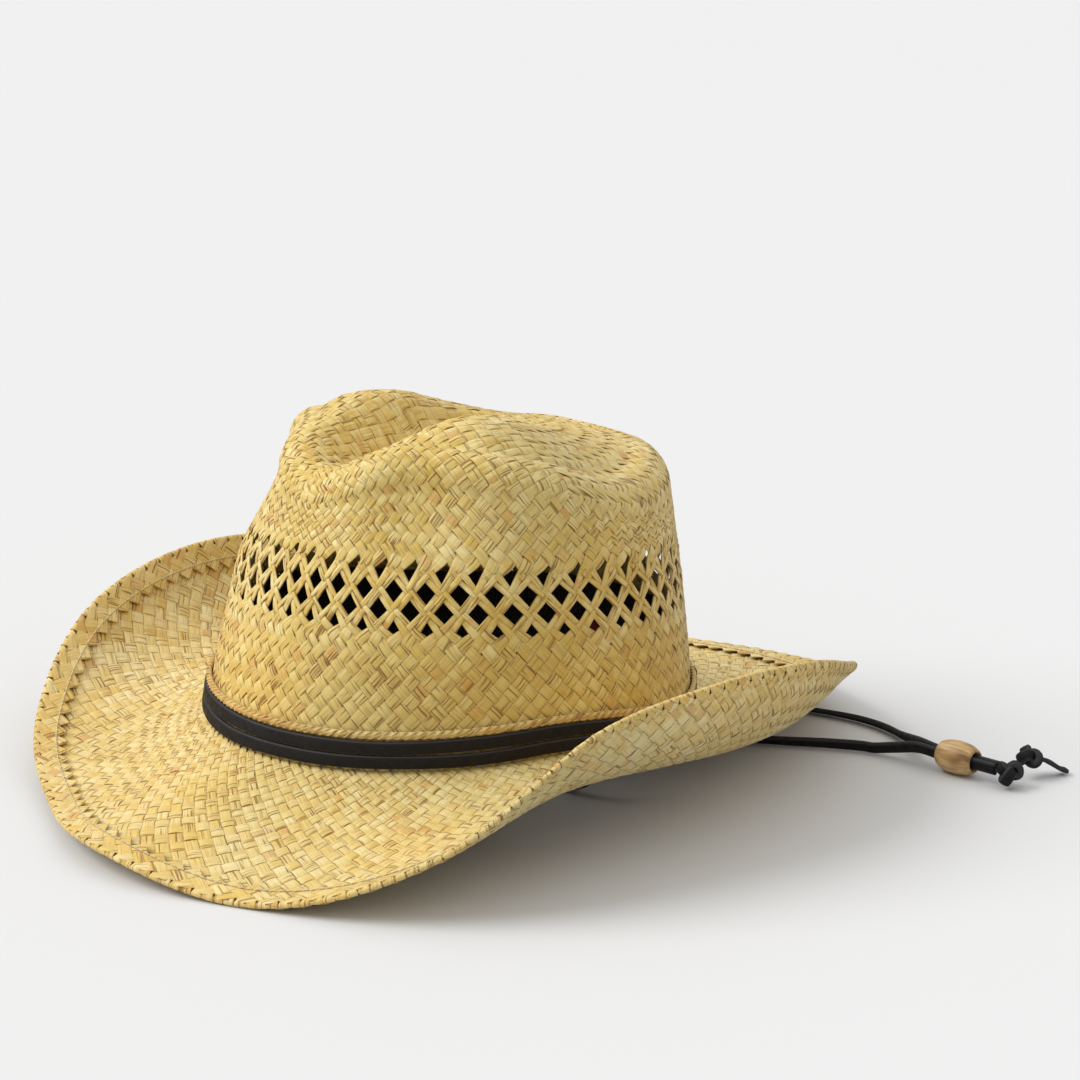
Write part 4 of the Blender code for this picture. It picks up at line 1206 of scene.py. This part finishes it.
# %% Number of a wall strand, from its lean and where it crosses the rim
def wall_strand_number(turning, place_at_zero_row):
    place = (place_at_zero_row + turning * TIP_ROWS / 2) % CROWN_STRANDS
    quadrant = int(place // TIP_ROWS)
    b = place - quadrant * TIP_ROWS
    a = TIP_ROWS - b
    own = a if turning > 0 else b
    i_or_j = {
        (0, True): (True, own), (1, True): (False, own), (2, True): (True, -own),
        (3, True): (False, -own), (0, False): (False, own), (1, False): (True, -own),
        (2, False): (False, -own), (3, False): (True, own),
    }[(quadrant, turning > 0)]
    return strand_number(*i_or_j)


# %% Draw the crossings of the openwork together
GATHER = {30: 0.60, 32: 0.37, 34: 0.37, 36: 0.60}        # row of the group: how close it is drawn


def gathered(row, place):
    """Where a crossing of the wall's grid goes when its group of four is drawn together."""
    if row % 2 == 0:
        close = GATHER.get(row, 1.0)
        centre = round((place - 0.5 - (row // 2) % 2) / 2) * 2 + 0.5 + (row // 2) % 2
        return row, centre + (place - centre) * close
    below = row + 1
    if abs((place - 0.5 - (below // 2) % 2) / 2 - round((place - 0.5 - (below // 2) % 2) / 2)) < 0.1:
        return below - GATHER.get(below, 1.0), place
    above = row - 1
    return above + GATHER.get(above, 1.0), place


def wall_strands(first, last, keep_above=None):
    """Strands of the wall between two rows; each ends where it is under another."""
    strands = []
    for turning in (1.0, -1.0):
        odd = 1 if turning > 0 else 0
        start = first + (1 if first % 2 != odd else 0)
        stop = last + (1 if last % 2 != odd else 0)
        if turning > 0 and first == VENT_FIRST:
            start = first + 1
        for j in range(CROWN_STRANDS):
            origin = j + 0.5 * (start % 2)
            number = wall_strand_number(turning, origin - turning * start / 2)
            rows = np.arange(start, stop + 1)
            crossings = np.array([
                gathered(int(r), origin + turning * (r - start) / 2) for r in rows
            ])
            t = np.arange(start, stop + 1e-6, 1.0 / STEPS)
            row = np.interp(t, rows, crossings[:, 0])
            place = np.interp(t, rows, crossings[:, 1])

            def surface(along, aside, t=t, row=row, place=place, turning=turning):
                shift = along - t
                return crown_place(row + shift, place + turning * shift / 2 - aside * turning)

            over = np.cos(np.pi * t) * turning
            thin = np.interp(t, *VENT_WIDTHS)
            thick = np.interp(t, *VENT_THICKNESSES)
            s = strand_on(surface, t, over, number, thin, thick)
            if keep_above is not None:
                height = crown_height(row, place)
                inside = height > keep_above - foot_drop(crown_angle(place))
                if inside.sum() < 3:
                    continue
                s = {k: (v[inside] if isinstance(v, np.ndarray) else v) for k, v in s.items()}
            strands.append(s)
    return strands


VENT_WIDTHS = ((28.6, 30.0, 31.0, 35.0, 36.0, 37.4), (1.0, 0.66, 0.46, 0.46, 0.66, 1.0))
VENT_THICKNESSES = ((29.0, 31.0, 35.0, 37.0), (1.0, 1.7, 1.7, 1.0))


def crown_height(row, place):
    return vent_middle(crown_angle(place)) + ROW_HEIGHT * (VENT_MIDDLE - row)


# %% Weave the wall in its three zones
VENT_LAST = VENT_MIDDLE + 5
FOOT_ROW = 54
upper_piece = woven(
    "woven_crown_wall_upper", facing_out(wall_strands(RIM_ROW, VENT_FIRST)), straw_finishes["wall"]
)
declare(upper_piece, "hat", "straw_wall", "crown_wall_upper")
vent_piece = woven(
    "woven_openwork", facing_out(wall_strands(VENT_FIRST, VENT_LAST)), straw_finishes["vents"]
)
declare(vent_piece, "hat", "straw_vents", "vent_band")
foot_piece = woven(
    "woven_crown_wall_lower", facing_out(wall_strands(VENT_LAST, FOOT_ROW, -0.6 * MM)),
    straw_finishes["foot"],
)
declare(foot_piece, "hat", "straw_foot", "crown_wall_lower")

# %% [markdown]
# ### The brim and its folded edge
#
# Where the brim begins, the weaver adds strands, so 126 lean each way, and they widen towards the
# edge. The last stretch is folded over a wire and back onto the upper side, as one weave with the
# brim. The brim is woven in four parts of the circle, because one mesh of it would be too heavy.

# %% Brim strands
BRIM_STRANDS = 126
BRIM_ROWS = 23
BRIM_GROWTH = 0.0253                   # each row is this much wider than the one before
FOLD_RADIUS = 0.95 * MM
FOLD_LEVEL = -0.15 * MM
FOLD_ROWS = 4.4
# In the bend itself the strands run straight across it, side by side, halfway between two
# crossings: rows after the brim's last one, and how many rows the strand has moved sideways.
BEND_ROWS = (0.0, 1.0, 1.3, 1.7, 2.0, FOLD_ROWS, FOLD_ROWS + 1)
BEND_SIDEWAYS = (0.0, 1.0, 1.5, 1.5, 2.0, FOLD_ROWS, FOLD_ROWS + 1)
BEND_WIDTHS = (1.0, 1.0, 0.53, 0.53, 1.0, 1.0, 1.0)


def fold_start(angle):
    return round_the_hat(1, angle) - TURN_IN - 0.4 * MM


def brim_surface(row, place):
    """A point of the weave's middle surface; rows beyond the brim's last run round the fold."""
    row, place = np.broadcast_arrays(np.asarray(row, float), np.asarray(place, float))
    angle = place * 2 * math.pi / BRIM_STRANDS
    start = fold_start(angle)
    growth = (np.exp(BRIM_GROWTH * row) - 1) / (math.exp(BRIM_GROWTH * BRIM_ROWS) - 1)
    brim_run = BRIM_START + (start - BRIM_START) * np.minimum(growth, 1.0)
    edge = round_the_hat(1, angle)
    bend = edge - 1.5 * MM
    flat = bend - start
    back_leg = HEM_WIDTH - 1.5 * MM
    bent = flat + math.pi * FOLD_RADIUS
    beyond = row - BRIM_ROWS
    lead = 1.3 * MM
    run = np.where(beyond < 1.0, beyond * (flat - lead), flat - lead + (beyond - 1.0) / 0.3 * lead)
    run = np.where(beyond > 1.3, flat + (beyond - 1.3) / 0.4 * math.pi * FOLD_RADIUS, run)
    run = np.where(beyond > 1.7, bent + (beyond - 1.7) / 0.3 * lead, run)
    run = np.where(
        beyond > 2.0, bent + lead + (beyond - 2.0) / (FOLD_ROWS - 2.0) * (back_leg - lead), run
    )
    run = np.maximum(run, 0.0)
    turn = np.clip((run - flat) / FOLD_RADIUS, 0.0, math.pi)
    over = np.maximum(run - flat - math.pi * FOLD_RADIUS, 0.0)
    distance = start + np.minimum(run, flat) + FOLD_RADIUS * np.sin(turn) - over
    rise = FOLD_LEVEL * ease(run, 0.0, 3 * MM) + FOLD_RADIUS * (1 - np.cos(turn))
    folded = row > BRIM_ROWS
    return brim_point(angle, np.where(folded, distance, brim_run), np.where(folded, rise, 0.0))


FOLD_LIFT = 0.45                       # the fold is pressed flatter than the brim


def sideways(row, start):
    """How many rows a strand has moved sideways since its start."""
    beyond = row - BRIM_ROWS
    held = np.interp(beyond, BEND_ROWS, BEND_SIDEWAYS)
    return np.where(beyond > 0, held + BRIM_ROWS, row) - start


def brim_strands(first, last, low_place=None, high_place=None, ragged=0.0, steps=STEPS):
    strands = []
    source = np.random.default_rng(5)
    for turning in (1.0, -1.0):
        odd = 1 if turning > 0 else 0
        start = first + (1 if first % 2 != odd else 0)
        stop = last + (1 if last % 2 != odd and not ragged else 0)
        for j in range(BRIM_STRANDS):
            end = stop + (source.uniform(-ragged, ragged) if ragged else 0.0)
            origin = j + 0.5 * (start % 2)
            middle = (origin + turning * (stop - start) / 4) % BRIM_STRANDS
            if low_place is not None and not low_place <= middle < high_place:
                continue
            t = np.append(np.arange(start, end - 0.02, 1.0 / steps), end)

            def surface(along, aside, origin=origin, start=start, turning=turning):
                return brim_surface(along, origin + turning * sideways(along, start) / 2
                                    - aside * turning)

            over = np.cos(np.pi * (sideways(t, start) + start)) * turning
            number = j + 200 + (BRIM_STRANDS if turning > 0 else 0)
            thin = np.interp(t - BRIM_ROWS, BEND_ROWS, BEND_WIDTHS)
            if ragged:
                over = over * FOLD_LIFT
            strands.append(strand_on(surface, t, over, number, thin, depth=0.0))
    return strands


def facing_up(strands):
    """The brim's normals point to its upper side at the start of each strand."""
    for s in strands:
        if s["outward"][0][2] < 0:
            s["outward"] = -s["outward"]
    return strands


# %% Weave the brim in four parts
QUARTERS = ("front_left", "back_left", "back_right", "front_right")
for k, side in enumerate(QUARTERS):
    low, high = k * BRIM_STRANDS / 4, (k + 1) * BRIM_STRANDS / 4
    made = woven(
        "woven_brim_" + side, facing_up(brim_strands(-1, BRIM_ROWS, low, high)),
        straw_finishes["brim"],
    )
    declare(made, "hat", "straw_brim", "brim")

# %% Weave the fold
for k, side in enumerate(("left", "right")):
    low, high = k * BRIM_STRANDS / 2, (k + 1) * BRIM_STRANDS / 2
    fold = brim_strands(BRIM_ROWS, BRIM_ROWS + FOLD_ROWS, low, high, ragged=0.14, steps=10)
    made = woven("woven_brim_fold_" + side, facing_up(fold), straw_finishes["hem"])
    declare(made, "hat", "straw_hem", "brim_hem")

# %% [markdown]
# ## Bands round the crown
#
# Two flat black laces lie round the foot of the crown, one above the other, with a row of twined
# straw above them. A leather keeper covers their meeting ends. Inside, a ribbed black ribbon is
# sewn to the foot. All of them are one section carried round the head oval on the crown's wall.

# %% A band round the crown wall
LACE_THICKNESS = 1.8 * MM
LACE_FOOT = 1.6 * MM
TWINE_HEIGHT = 3.0 * MM
TWINE_THICKNESS = 1.5 * MM
BAND_PLACES = 260
BAND_NEAR = 0.4 * MM


def band_rows(angle, low, section, near):
    """The section (up from low, out from near) carried along the wall."""
    spot, out = head_oval(angle)
    rows = []
    for across, rise in section:
        wall = crown_wall(angle, low + across - foot_drop(angle))
        wall[..., :2] += out * (near + rise)
        rows.append(stand(wall))
    return np.stack(rows, 1)


def wall_lace(name, low, node, seed):
    angle = np.linspace(0.0, 2 * math.pi, BAND_PLACES, endpoint=False)
    section = strap_section(LACE_WIDTH, LACE_THICKNESS)
    moved = section + (LACE_WIDTH / 2, LACE_THICKNESS / 2)
    sway = 0.12 * MM * np.sin(5 * angle + seed) + 0.08 * MM * np.sin(11 * angle + 2 * seed)
    rows = band_rows(angle, low + sway, moved, BAND_NEAR)
    made = laid_strap(name, rows, section, LACE_WIDTH, lace_leather, closed_run=True)
    return declare(made, "hat", "lace_leather", node)


LACE_STEP = LACE_WIDTH + 0.5 * MM
wall_lace("hatband_lower_lace", LACE_FOOT, "hatband_lace_lower", 0.0)
wall_lace("hatband_upper_lace", LACE_FOOT + LACE_STEP, "hatband_lace_upper", 2.0)


# %% The twined row above the laces
TWINE_TURNS = 58
TWINE_STRANDS = 3


def twined_row():
    """Three strands that wind round each other along the wall."""
    strands = []
    low = LACE_FOOT + LACE_STEP + LACE_WIDTH + 0.4 * MM
    count = TWINE_TURNS * 10
    for k in range(TWINE_STRANDS):
        angle = np.linspace(0.0, 2 * math.pi, count + 1)
        wind = angle * TWINE_TURNS + k * 2 * math.pi / TWINE_STRANDS
        height = low + TWINE_HEIGHT / 2 + 0.9 * MM * np.sin(wind)
        spot, out = head_oval(angle)
        wall = crown_wall(angle, height - foot_drop(angle))
        away = BAND_NEAR + TWINE_THICKNESS / 2 + 0.42 * MM * np.cos(wind)
        wall[..., :2] += out * away[:, None]
        upward = np.array([0.0, 0.0, 1.0])
        outward = np.concatenate([out, np.zeros((count + 1, 1))], -1)
        facing = outward * np.cos(wind)[:, None] + upward * np.sin(wind)[:, None]
        strands.append({
            "line": stand(wall), "outward": tilt(facing), "over": np.zeros(count + 1),
            "half_width": np.full(count + 1, 1.05 * MM), "half_thick": np.full(count + 1, 0.45 * MM),
            "step": wind / math.pi, "number": 600 + k,
        })
    return strands


twine = woven("twined_foot_row", twined_row(), straw_finishes["twining"])
declare(twine, "hat", "straw_twining", "base_twining")


# %% The keeper
KEEPER_DIRECTION = 150.0
KEEPER_LENGTH = 7.0 * MM
KEEPER_WALL = 1.2 * MM


def keeper_loop():
    reach = KEEPER_LENGTH / 2 / HEAD_HALF_LENGTH
    middle = math.radians(KEEPER_DIRECTION)
    angle = middle + reach * np.linspace(-1, 1, 15)
    height = 2 * LACE_WIDTH + 1.0 * MM
    section = strap_section(height, KEEPER_WALL, 0.45)
    bulge = 0.25 * MM * (1 - np.linspace(-1, 1, 15) ** 4)
    rows = band_rows(angle, LACE_FOOT - 0.25 * MM,
                     section + (height / 2, KEEPER_WALL / 2), BAND_NEAR + LACE_THICKNESS + 0.3 * MM)
    spot, out = head_oval(angle)
    lift = np.concatenate([out * bulge[:, None], np.zeros((15, 1))], -1)
    rows[:, 4:13] += lift[:, None]
    made = laid_strap("hatband_keeper_loop", rows, section, height, lace_leather)
    return declare(made, "hat", "lace_leather", "hatband_keeper")


keeper_loop()


# %% [markdown]
# The sweatband is a ribbed black ribbon with a slanted twill. Its ribs are real relief in the
# finish: waves across the ribbon's own coordinates, with a fine thread pattern on top.

# %% Ribbon, thread and label finishes
def ribbon_finish():
    material, tree, shader = finish_called("black_twill_ribbon", roughness=0.8, specular=0.3)
    strap = named(tree, "strap")
    ribs = add_node(tree, "ShaderNodeTexWave", wave_type="BANDS", bands_direction="DIAGONAL")
    ribs.inputs["Scale"].default_value = 1.0
    ribs.inputs["Distortion"].default_value = 0.25
    ribs.inputs["Detail"].default_value = 1.0
    tree.links.new(stretched(tree, strap, (3.1, 620.0, 0.0)), ribs.inputs["Vector"])
    fibres = noise(tree, place_on_piece(tree), scale=900.0, detail=2.0)
    colour = ramp(tree, ribs.outputs["Fac"],
                  ((0.25, (0.006, 0.005, 0.005)), (0.75, (0.040, 0.032, 0.028))))
    colour = mixed(tree, "MULTIPLY", 0.5, colour, ramp(tree, fibres, ((0.3, (0.6,) * 3),
                                                                    (0.7, (1, 1, 1)))))
    tree.links.new(colour, shader.inputs["Base Color"])
    rough = ramp(tree, fibres, ((0.3, (0.9,) * 3), (0.7, (0.7,) * 3)))
    tree.links.new(rough, shader.inputs["Roughness"])
    raised(tree, shader, ribs.outputs["Fac"], 0.35 * MM, 0.8)
    return material


def thread_finish(name, tone, dark):
    material, tree, shader = finish_called(name, roughness=0.7, specular=0.3)
    spot = place_on_piece(tree)
    twist = add_node(tree, "ShaderNodeTexWave", wave_type="BANDS", bands_direction="DIAGONAL")
    twist.inputs["Scale"].default_value = 900.0
    twist.inputs["Distortion"].default_value = 1.0
    tree.links.new(spot, twist.inputs["Vector"])
    fuzz = noise(tree, spot, scale=1400.0)
    colour = ramp(tree, twist.outputs["Fac"], ((0.2, dark), (0.7, tone)))
    colour = mixed(tree, "MULTIPLY", 0.4, colour, ramp(tree, fuzz, ((0.3, (0.6,) * 3),
                                                                  (0.7, (1, 1, 1)))))
    tree.links.new(colour, shader.inputs["Base Color"])
    raised(tree, shader, twist.outputs["Fac"], 0.08 * MM, 0.7)
    return material


def label_finish():
    material, tree, shader = finish_called("red_label_cloth", roughness=0.75, specular=0.3)
    spot = place_on_piece(tree)
    weave = add_node(tree, "ShaderNodeTexWave", wave_type="BANDS", bands_direction="Z")
    weave.inputs["Scale"].default_value = 500.0
    tree.links.new(spot, weave.inputs["Vector"])
    tone = noise(tree, spot, scale=300.0)
    colour = ramp(tree, tone, ((0.3, (0.22, 0.010, 0.014)), (0.7, (0.42, 0.030, 0.035))))
    colour = mixed(tree, "MULTIPLY", 0.35, colour, ramp(tree, weave.outputs["Fac"],
                                                      ((0.2, (0.5,) * 3), (0.8, (1, 1, 1)))))
    tree.links.new(colour, shader.inputs["Base Color"])
    raised(tree, shader, weave.outputs["Fac"], 0.1 * MM, 0.7)
    return material


# %% The sweatband
SWEATBAND_FOOT = 0.5 * MM
SWEATBAND_HEIGHT = 33 * MM
SWEATBAND_THICKNESS = 1.0 * MM
SWEATBAND_NEAR = -(WEAVE_THICKNESS + 0.6 * MM)


def sweatband_ring():
    angle = np.linspace(0.0, 2 * math.pi, BAND_PLACES, endpoint=False)
    across = np.linspace(-1, 1, 13)
    front = [(SWEATBAND_HEIGHT / 2 * a, 0.0) for a in across]
    rear = [(SWEATBAND_HEIGHT / 2 * a, -SWEATBAND_THICKNESS) for a in across]
    section = np.array(front + rear[::-1])
    lifted = section + (SWEATBAND_HEIGHT / 2, 0.0)
    rows = band_rows(angle, SWEATBAND_FOOT, lifted, SWEATBAND_NEAR)
    made = laid_strap("ribbon_sweatband", rows, section, SWEATBAND_HEIGHT, ribbon_finish(),
                      closed_run=True)
    return declare(made, "hat", "ribbon", "sweatband")


sweatband_ring()

# %% [markdown]
# ## Stitches
#
# A machine stitch is a short stretch of thread with its two ends pulled into the cloth. One
# stitch is a small bent capsule, and Geometry Nodes set a copy at each place of a row, turned
# along the row. The rows are the pale thread of the folded edge and the black one of the ribbon.

# %% One stitch
def stitch_shape(name, length, radius, dip):
    rows = []
    for part in np.linspace(-1, 1, 7):
        size = radius * math.sqrt(max(1 - part ** 4, 0.02))
        turn = np.arange(6) * math.pi / 3
        bow = dip * (1 - part * part) - dip
        rows.append(np.stack([np.full(6, part * length / 2), size * np.cos(turn),
                              size * np.sin(turn) + bow], -1))
    points, faces = swept(rows)
    mesh = bpy.data.meshes.new(name)
    mesh.from_pydata([tuple(p) for p in points], [], faces)
    return mesh


# %% The tree that sets copies along a row
def row_tree(material):
    tree = bpy.data.node_groups.new("stitches_in_a_row", "GeometryNodeTree")
    face = tree.interface
    face.new_socket("Geometry", in_out="INPUT", socket_type="NodeSocketGeometry")
    face.new_socket("Stitch", in_out="INPUT", socket_type="NodeSocketObject")
    size = face.new_socket("Size", in_out="INPUT", socket_type="NodeSocketFloat")
    size.default_value = 1.0
    face.new_socket("Geometry", in_out="OUTPUT", socket_type="NodeSocketGeometry")
    start = add_node(tree, "NodeGroupInput")
    end = add_node(tree, "NodeGroupOutput")
    shape = add_node(tree, "GeometryNodeObjectInfo")
    tree.links.new(start.outputs["Stitch"], shape.inputs["Object"])
    turn = add_node(tree, "FunctionNodeAxesToRotation", primary_axis="X", secondary_axis="Z")
    for label, socket in (("ahead", "Primary Axis"), ("outward", "Secondary Axis")):
        made = add_node(tree, "GeometryNodeInputNamedAttribute", data_type="FLOAT_VECTOR")
        made.inputs["Name"].default_value = label
        tree.links.new(made.outputs["Attribute"], turn.inputs[socket])
    copies = add_node(tree, "GeometryNodeInstanceOnPoints")
    tree.links.new(start.outputs["Geometry"], copies.inputs["Points"])
    tree.links.new(shape.outputs["Geometry"], copies.inputs["Instance"])
    tree.links.new(turn.outputs["Rotation"], copies.inputs["Rotation"])
    tree.links.new(start.outputs["Size"], copies.inputs["Scale"])
    dress(tree, copies.outputs["Instances"], material, end)
    return tree


# %% Sew a row
def sewn_row(name, places, ahead, outward, stitch, finish):
    mesh = bpy.data.meshes.new(name)
    mesh.from_pydata([tuple(p) for p in places], [], [])
    for label, values in (("ahead", ahead), ("outward", outward)):
        layer = mesh.attributes.new(label, "FLOAT_VECTOR", "POINT")
        layer.data.foreach_set("vector", np.asarray(values, np.float32).ravel())
    made = bpy.data.objects.new(name, mesh)
    bpy.context.scene.collection.objects.link(made)
    pattern = bpy.data.objects.new(name + "_pattern", stitch)
    bpy.context.scene.collection.objects.link(pattern)
    modifier = made.modifiers.new("sewing", "NODES")
    modifier.node_group = row_tree(finish)
    set_input(modifier, "Stitch", pattern)
    set_input(modifier, "Size", 1.0)
    made_plain(made, finish, lambda face: True)
    bpy.data.objects.remove(pattern, do_unlink=True)
    print(name, len(places), "stitches")
    return made


def row_round(surface, pitch):
    """Evenly spaced places on a closed line, with their directions, from a function of angle."""
    fine = np.linspace(0.0, 2 * math.pi, 4001)
    length = run_along(surface(fine))
    count = int(round(length[-1] / pitch))
    angle = np.interp((np.arange(count) + 0.5) / count * length[-1], length, fine)
    return angle, surface(angle), unit(surface(angle + 0.002) - surface(angle - 0.002))


# %% Pale thread along the folded edge
STITCH_INSET = 9.0 * MM
HEM_STITCH = 3.0 * MM
HEM_TOP = 2.45 * MM                    # height of the fold's upper side above the brim's middle


def hem_line(angle, above=HEM_TOP):
    return stand(brim_point(angle, round_the_hat(1, angle) - STITCH_INSET, above))


angle, places, ahead = row_round(hem_line, HEM_STITCH)
outward = hem_line(angle, HEM_TOP + MM) - hem_line(angle, HEM_TOP)
pale_thread = thread_finish("pale_thread", (0.80, 0.70, 0.42), (0.50, 0.40, 0.20))
stitch = stitch_shape("hem_stitch", HEM_STITCH * 1.02, 0.33 * MM, 0.30 * MM)
hem_row = sewn_row("folded_edge_stitches", places, ahead, outward, stitch, pale_thread)
declare(hem_row, "hat", "straw_thread", "hem_stitching")

# %% Black thread along the ribbon's upper edge
RIBBON_STITCH = 3.2 * MM
RIBBON_STITCH_DROP = 4 * MM


def ribbon_line(angle, deeper=0.0):
    height = SWEATBAND_FOOT + SWEATBAND_HEIGHT - RIBBON_STITCH_DROP
    spot, out = head_oval(angle)
    wall = crown_wall(angle, height - foot_drop(angle))
    wall[..., :2] += out * (SWEATBAND_NEAR - SWEATBAND_THICKNESS - 0.28 * MM - deeper)
    return stand(wall)


angle, places, ahead = row_round(ribbon_line, RIBBON_STITCH)
outward = ribbon_line(angle, MM) - ribbon_line(angle)
dark_thread = thread_finish("black_thread", (0.035, 0.033, 0.034), (0.008, 0.008, 0.009))
stitch = stitch_shape("ribbon_stitch", RIBBON_STITCH * 0.9, 0.28 * MM, 0.22 * MM)
ribbon_row = sewn_row("ribbon_stitches", places, ahead, outward, stitch, dark_thread)
declare(ribbon_row, "hat", "dark_thread", "sweatband_stitching")


# %% [markdown]
# ## Label and wire
#
# A small blank cloth label is sewn inside at the back. It is a thin curved patch with rounded
# corners of its section. The wire in the fold stays the design's own solid, and gets the finish of
# drawn spring steel.

# %% The blank label
LABEL_DIRECTION = 192.0
LABEL_WIDTH = 22 * MM
LABEL_HEIGHT = 9 * MM
LABEL_THICKNESS = 0.5 * MM


def label_patch():
    reach = LABEL_WIDTH / 2 / HEAD_HALF_LENGTH
    angle = math.radians(LABEL_DIRECTION) + reach * np.linspace(-1, 1, 25)
    section = strap_section(LABEL_HEIGHT, LABEL_THICKNESS, 0.4)
    deep = SWEATBAND_NEAR - SWEATBAND_THICKNESS - 0.3 * MM - LABEL_THICKNESS / 2
    rows = band_rows(angle, SWEATBAND_FOOT + 6 * MM, section + (LABEL_HEIGHT / 2, 0.0), deep)
    points, faces = swept(rows)
    made = piece("blank_label", points, faces, label_finish())
    return declare(made, "hat", "label_cloth", "size_label")


label_patch()


# %% Spring steel for the wire
def steel_finish():
    material, tree, shader = finish_called("drawn_steel", roughness=0.35, metallic=1.0)
    spot = place_on_piece(tree)
    scratches = noise(tree, spot, scale=700.0, detail=3.0)
    colour = ramp(tree, scratches, ((0.3, (0.32, 0.32, 0.33)), (0.7, (0.60, 0.60, 0.61))))
    tree.links.new(colour, shader.inputs["Base Color"])
    rough = ramp(tree, scratches, ((0.3, (0.5,) * 3), (0.7, (0.3,) * 3)))
    tree.links.new(rough, shader.inputs["Roughness"])
    raised(tree, shader, scratches, 0.05 * MM, 0.4)
    return material


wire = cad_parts["brim_wire"]
wire_steel = steel_finish()
for holder in wire.material_slots:
    holder.material = wire_steel
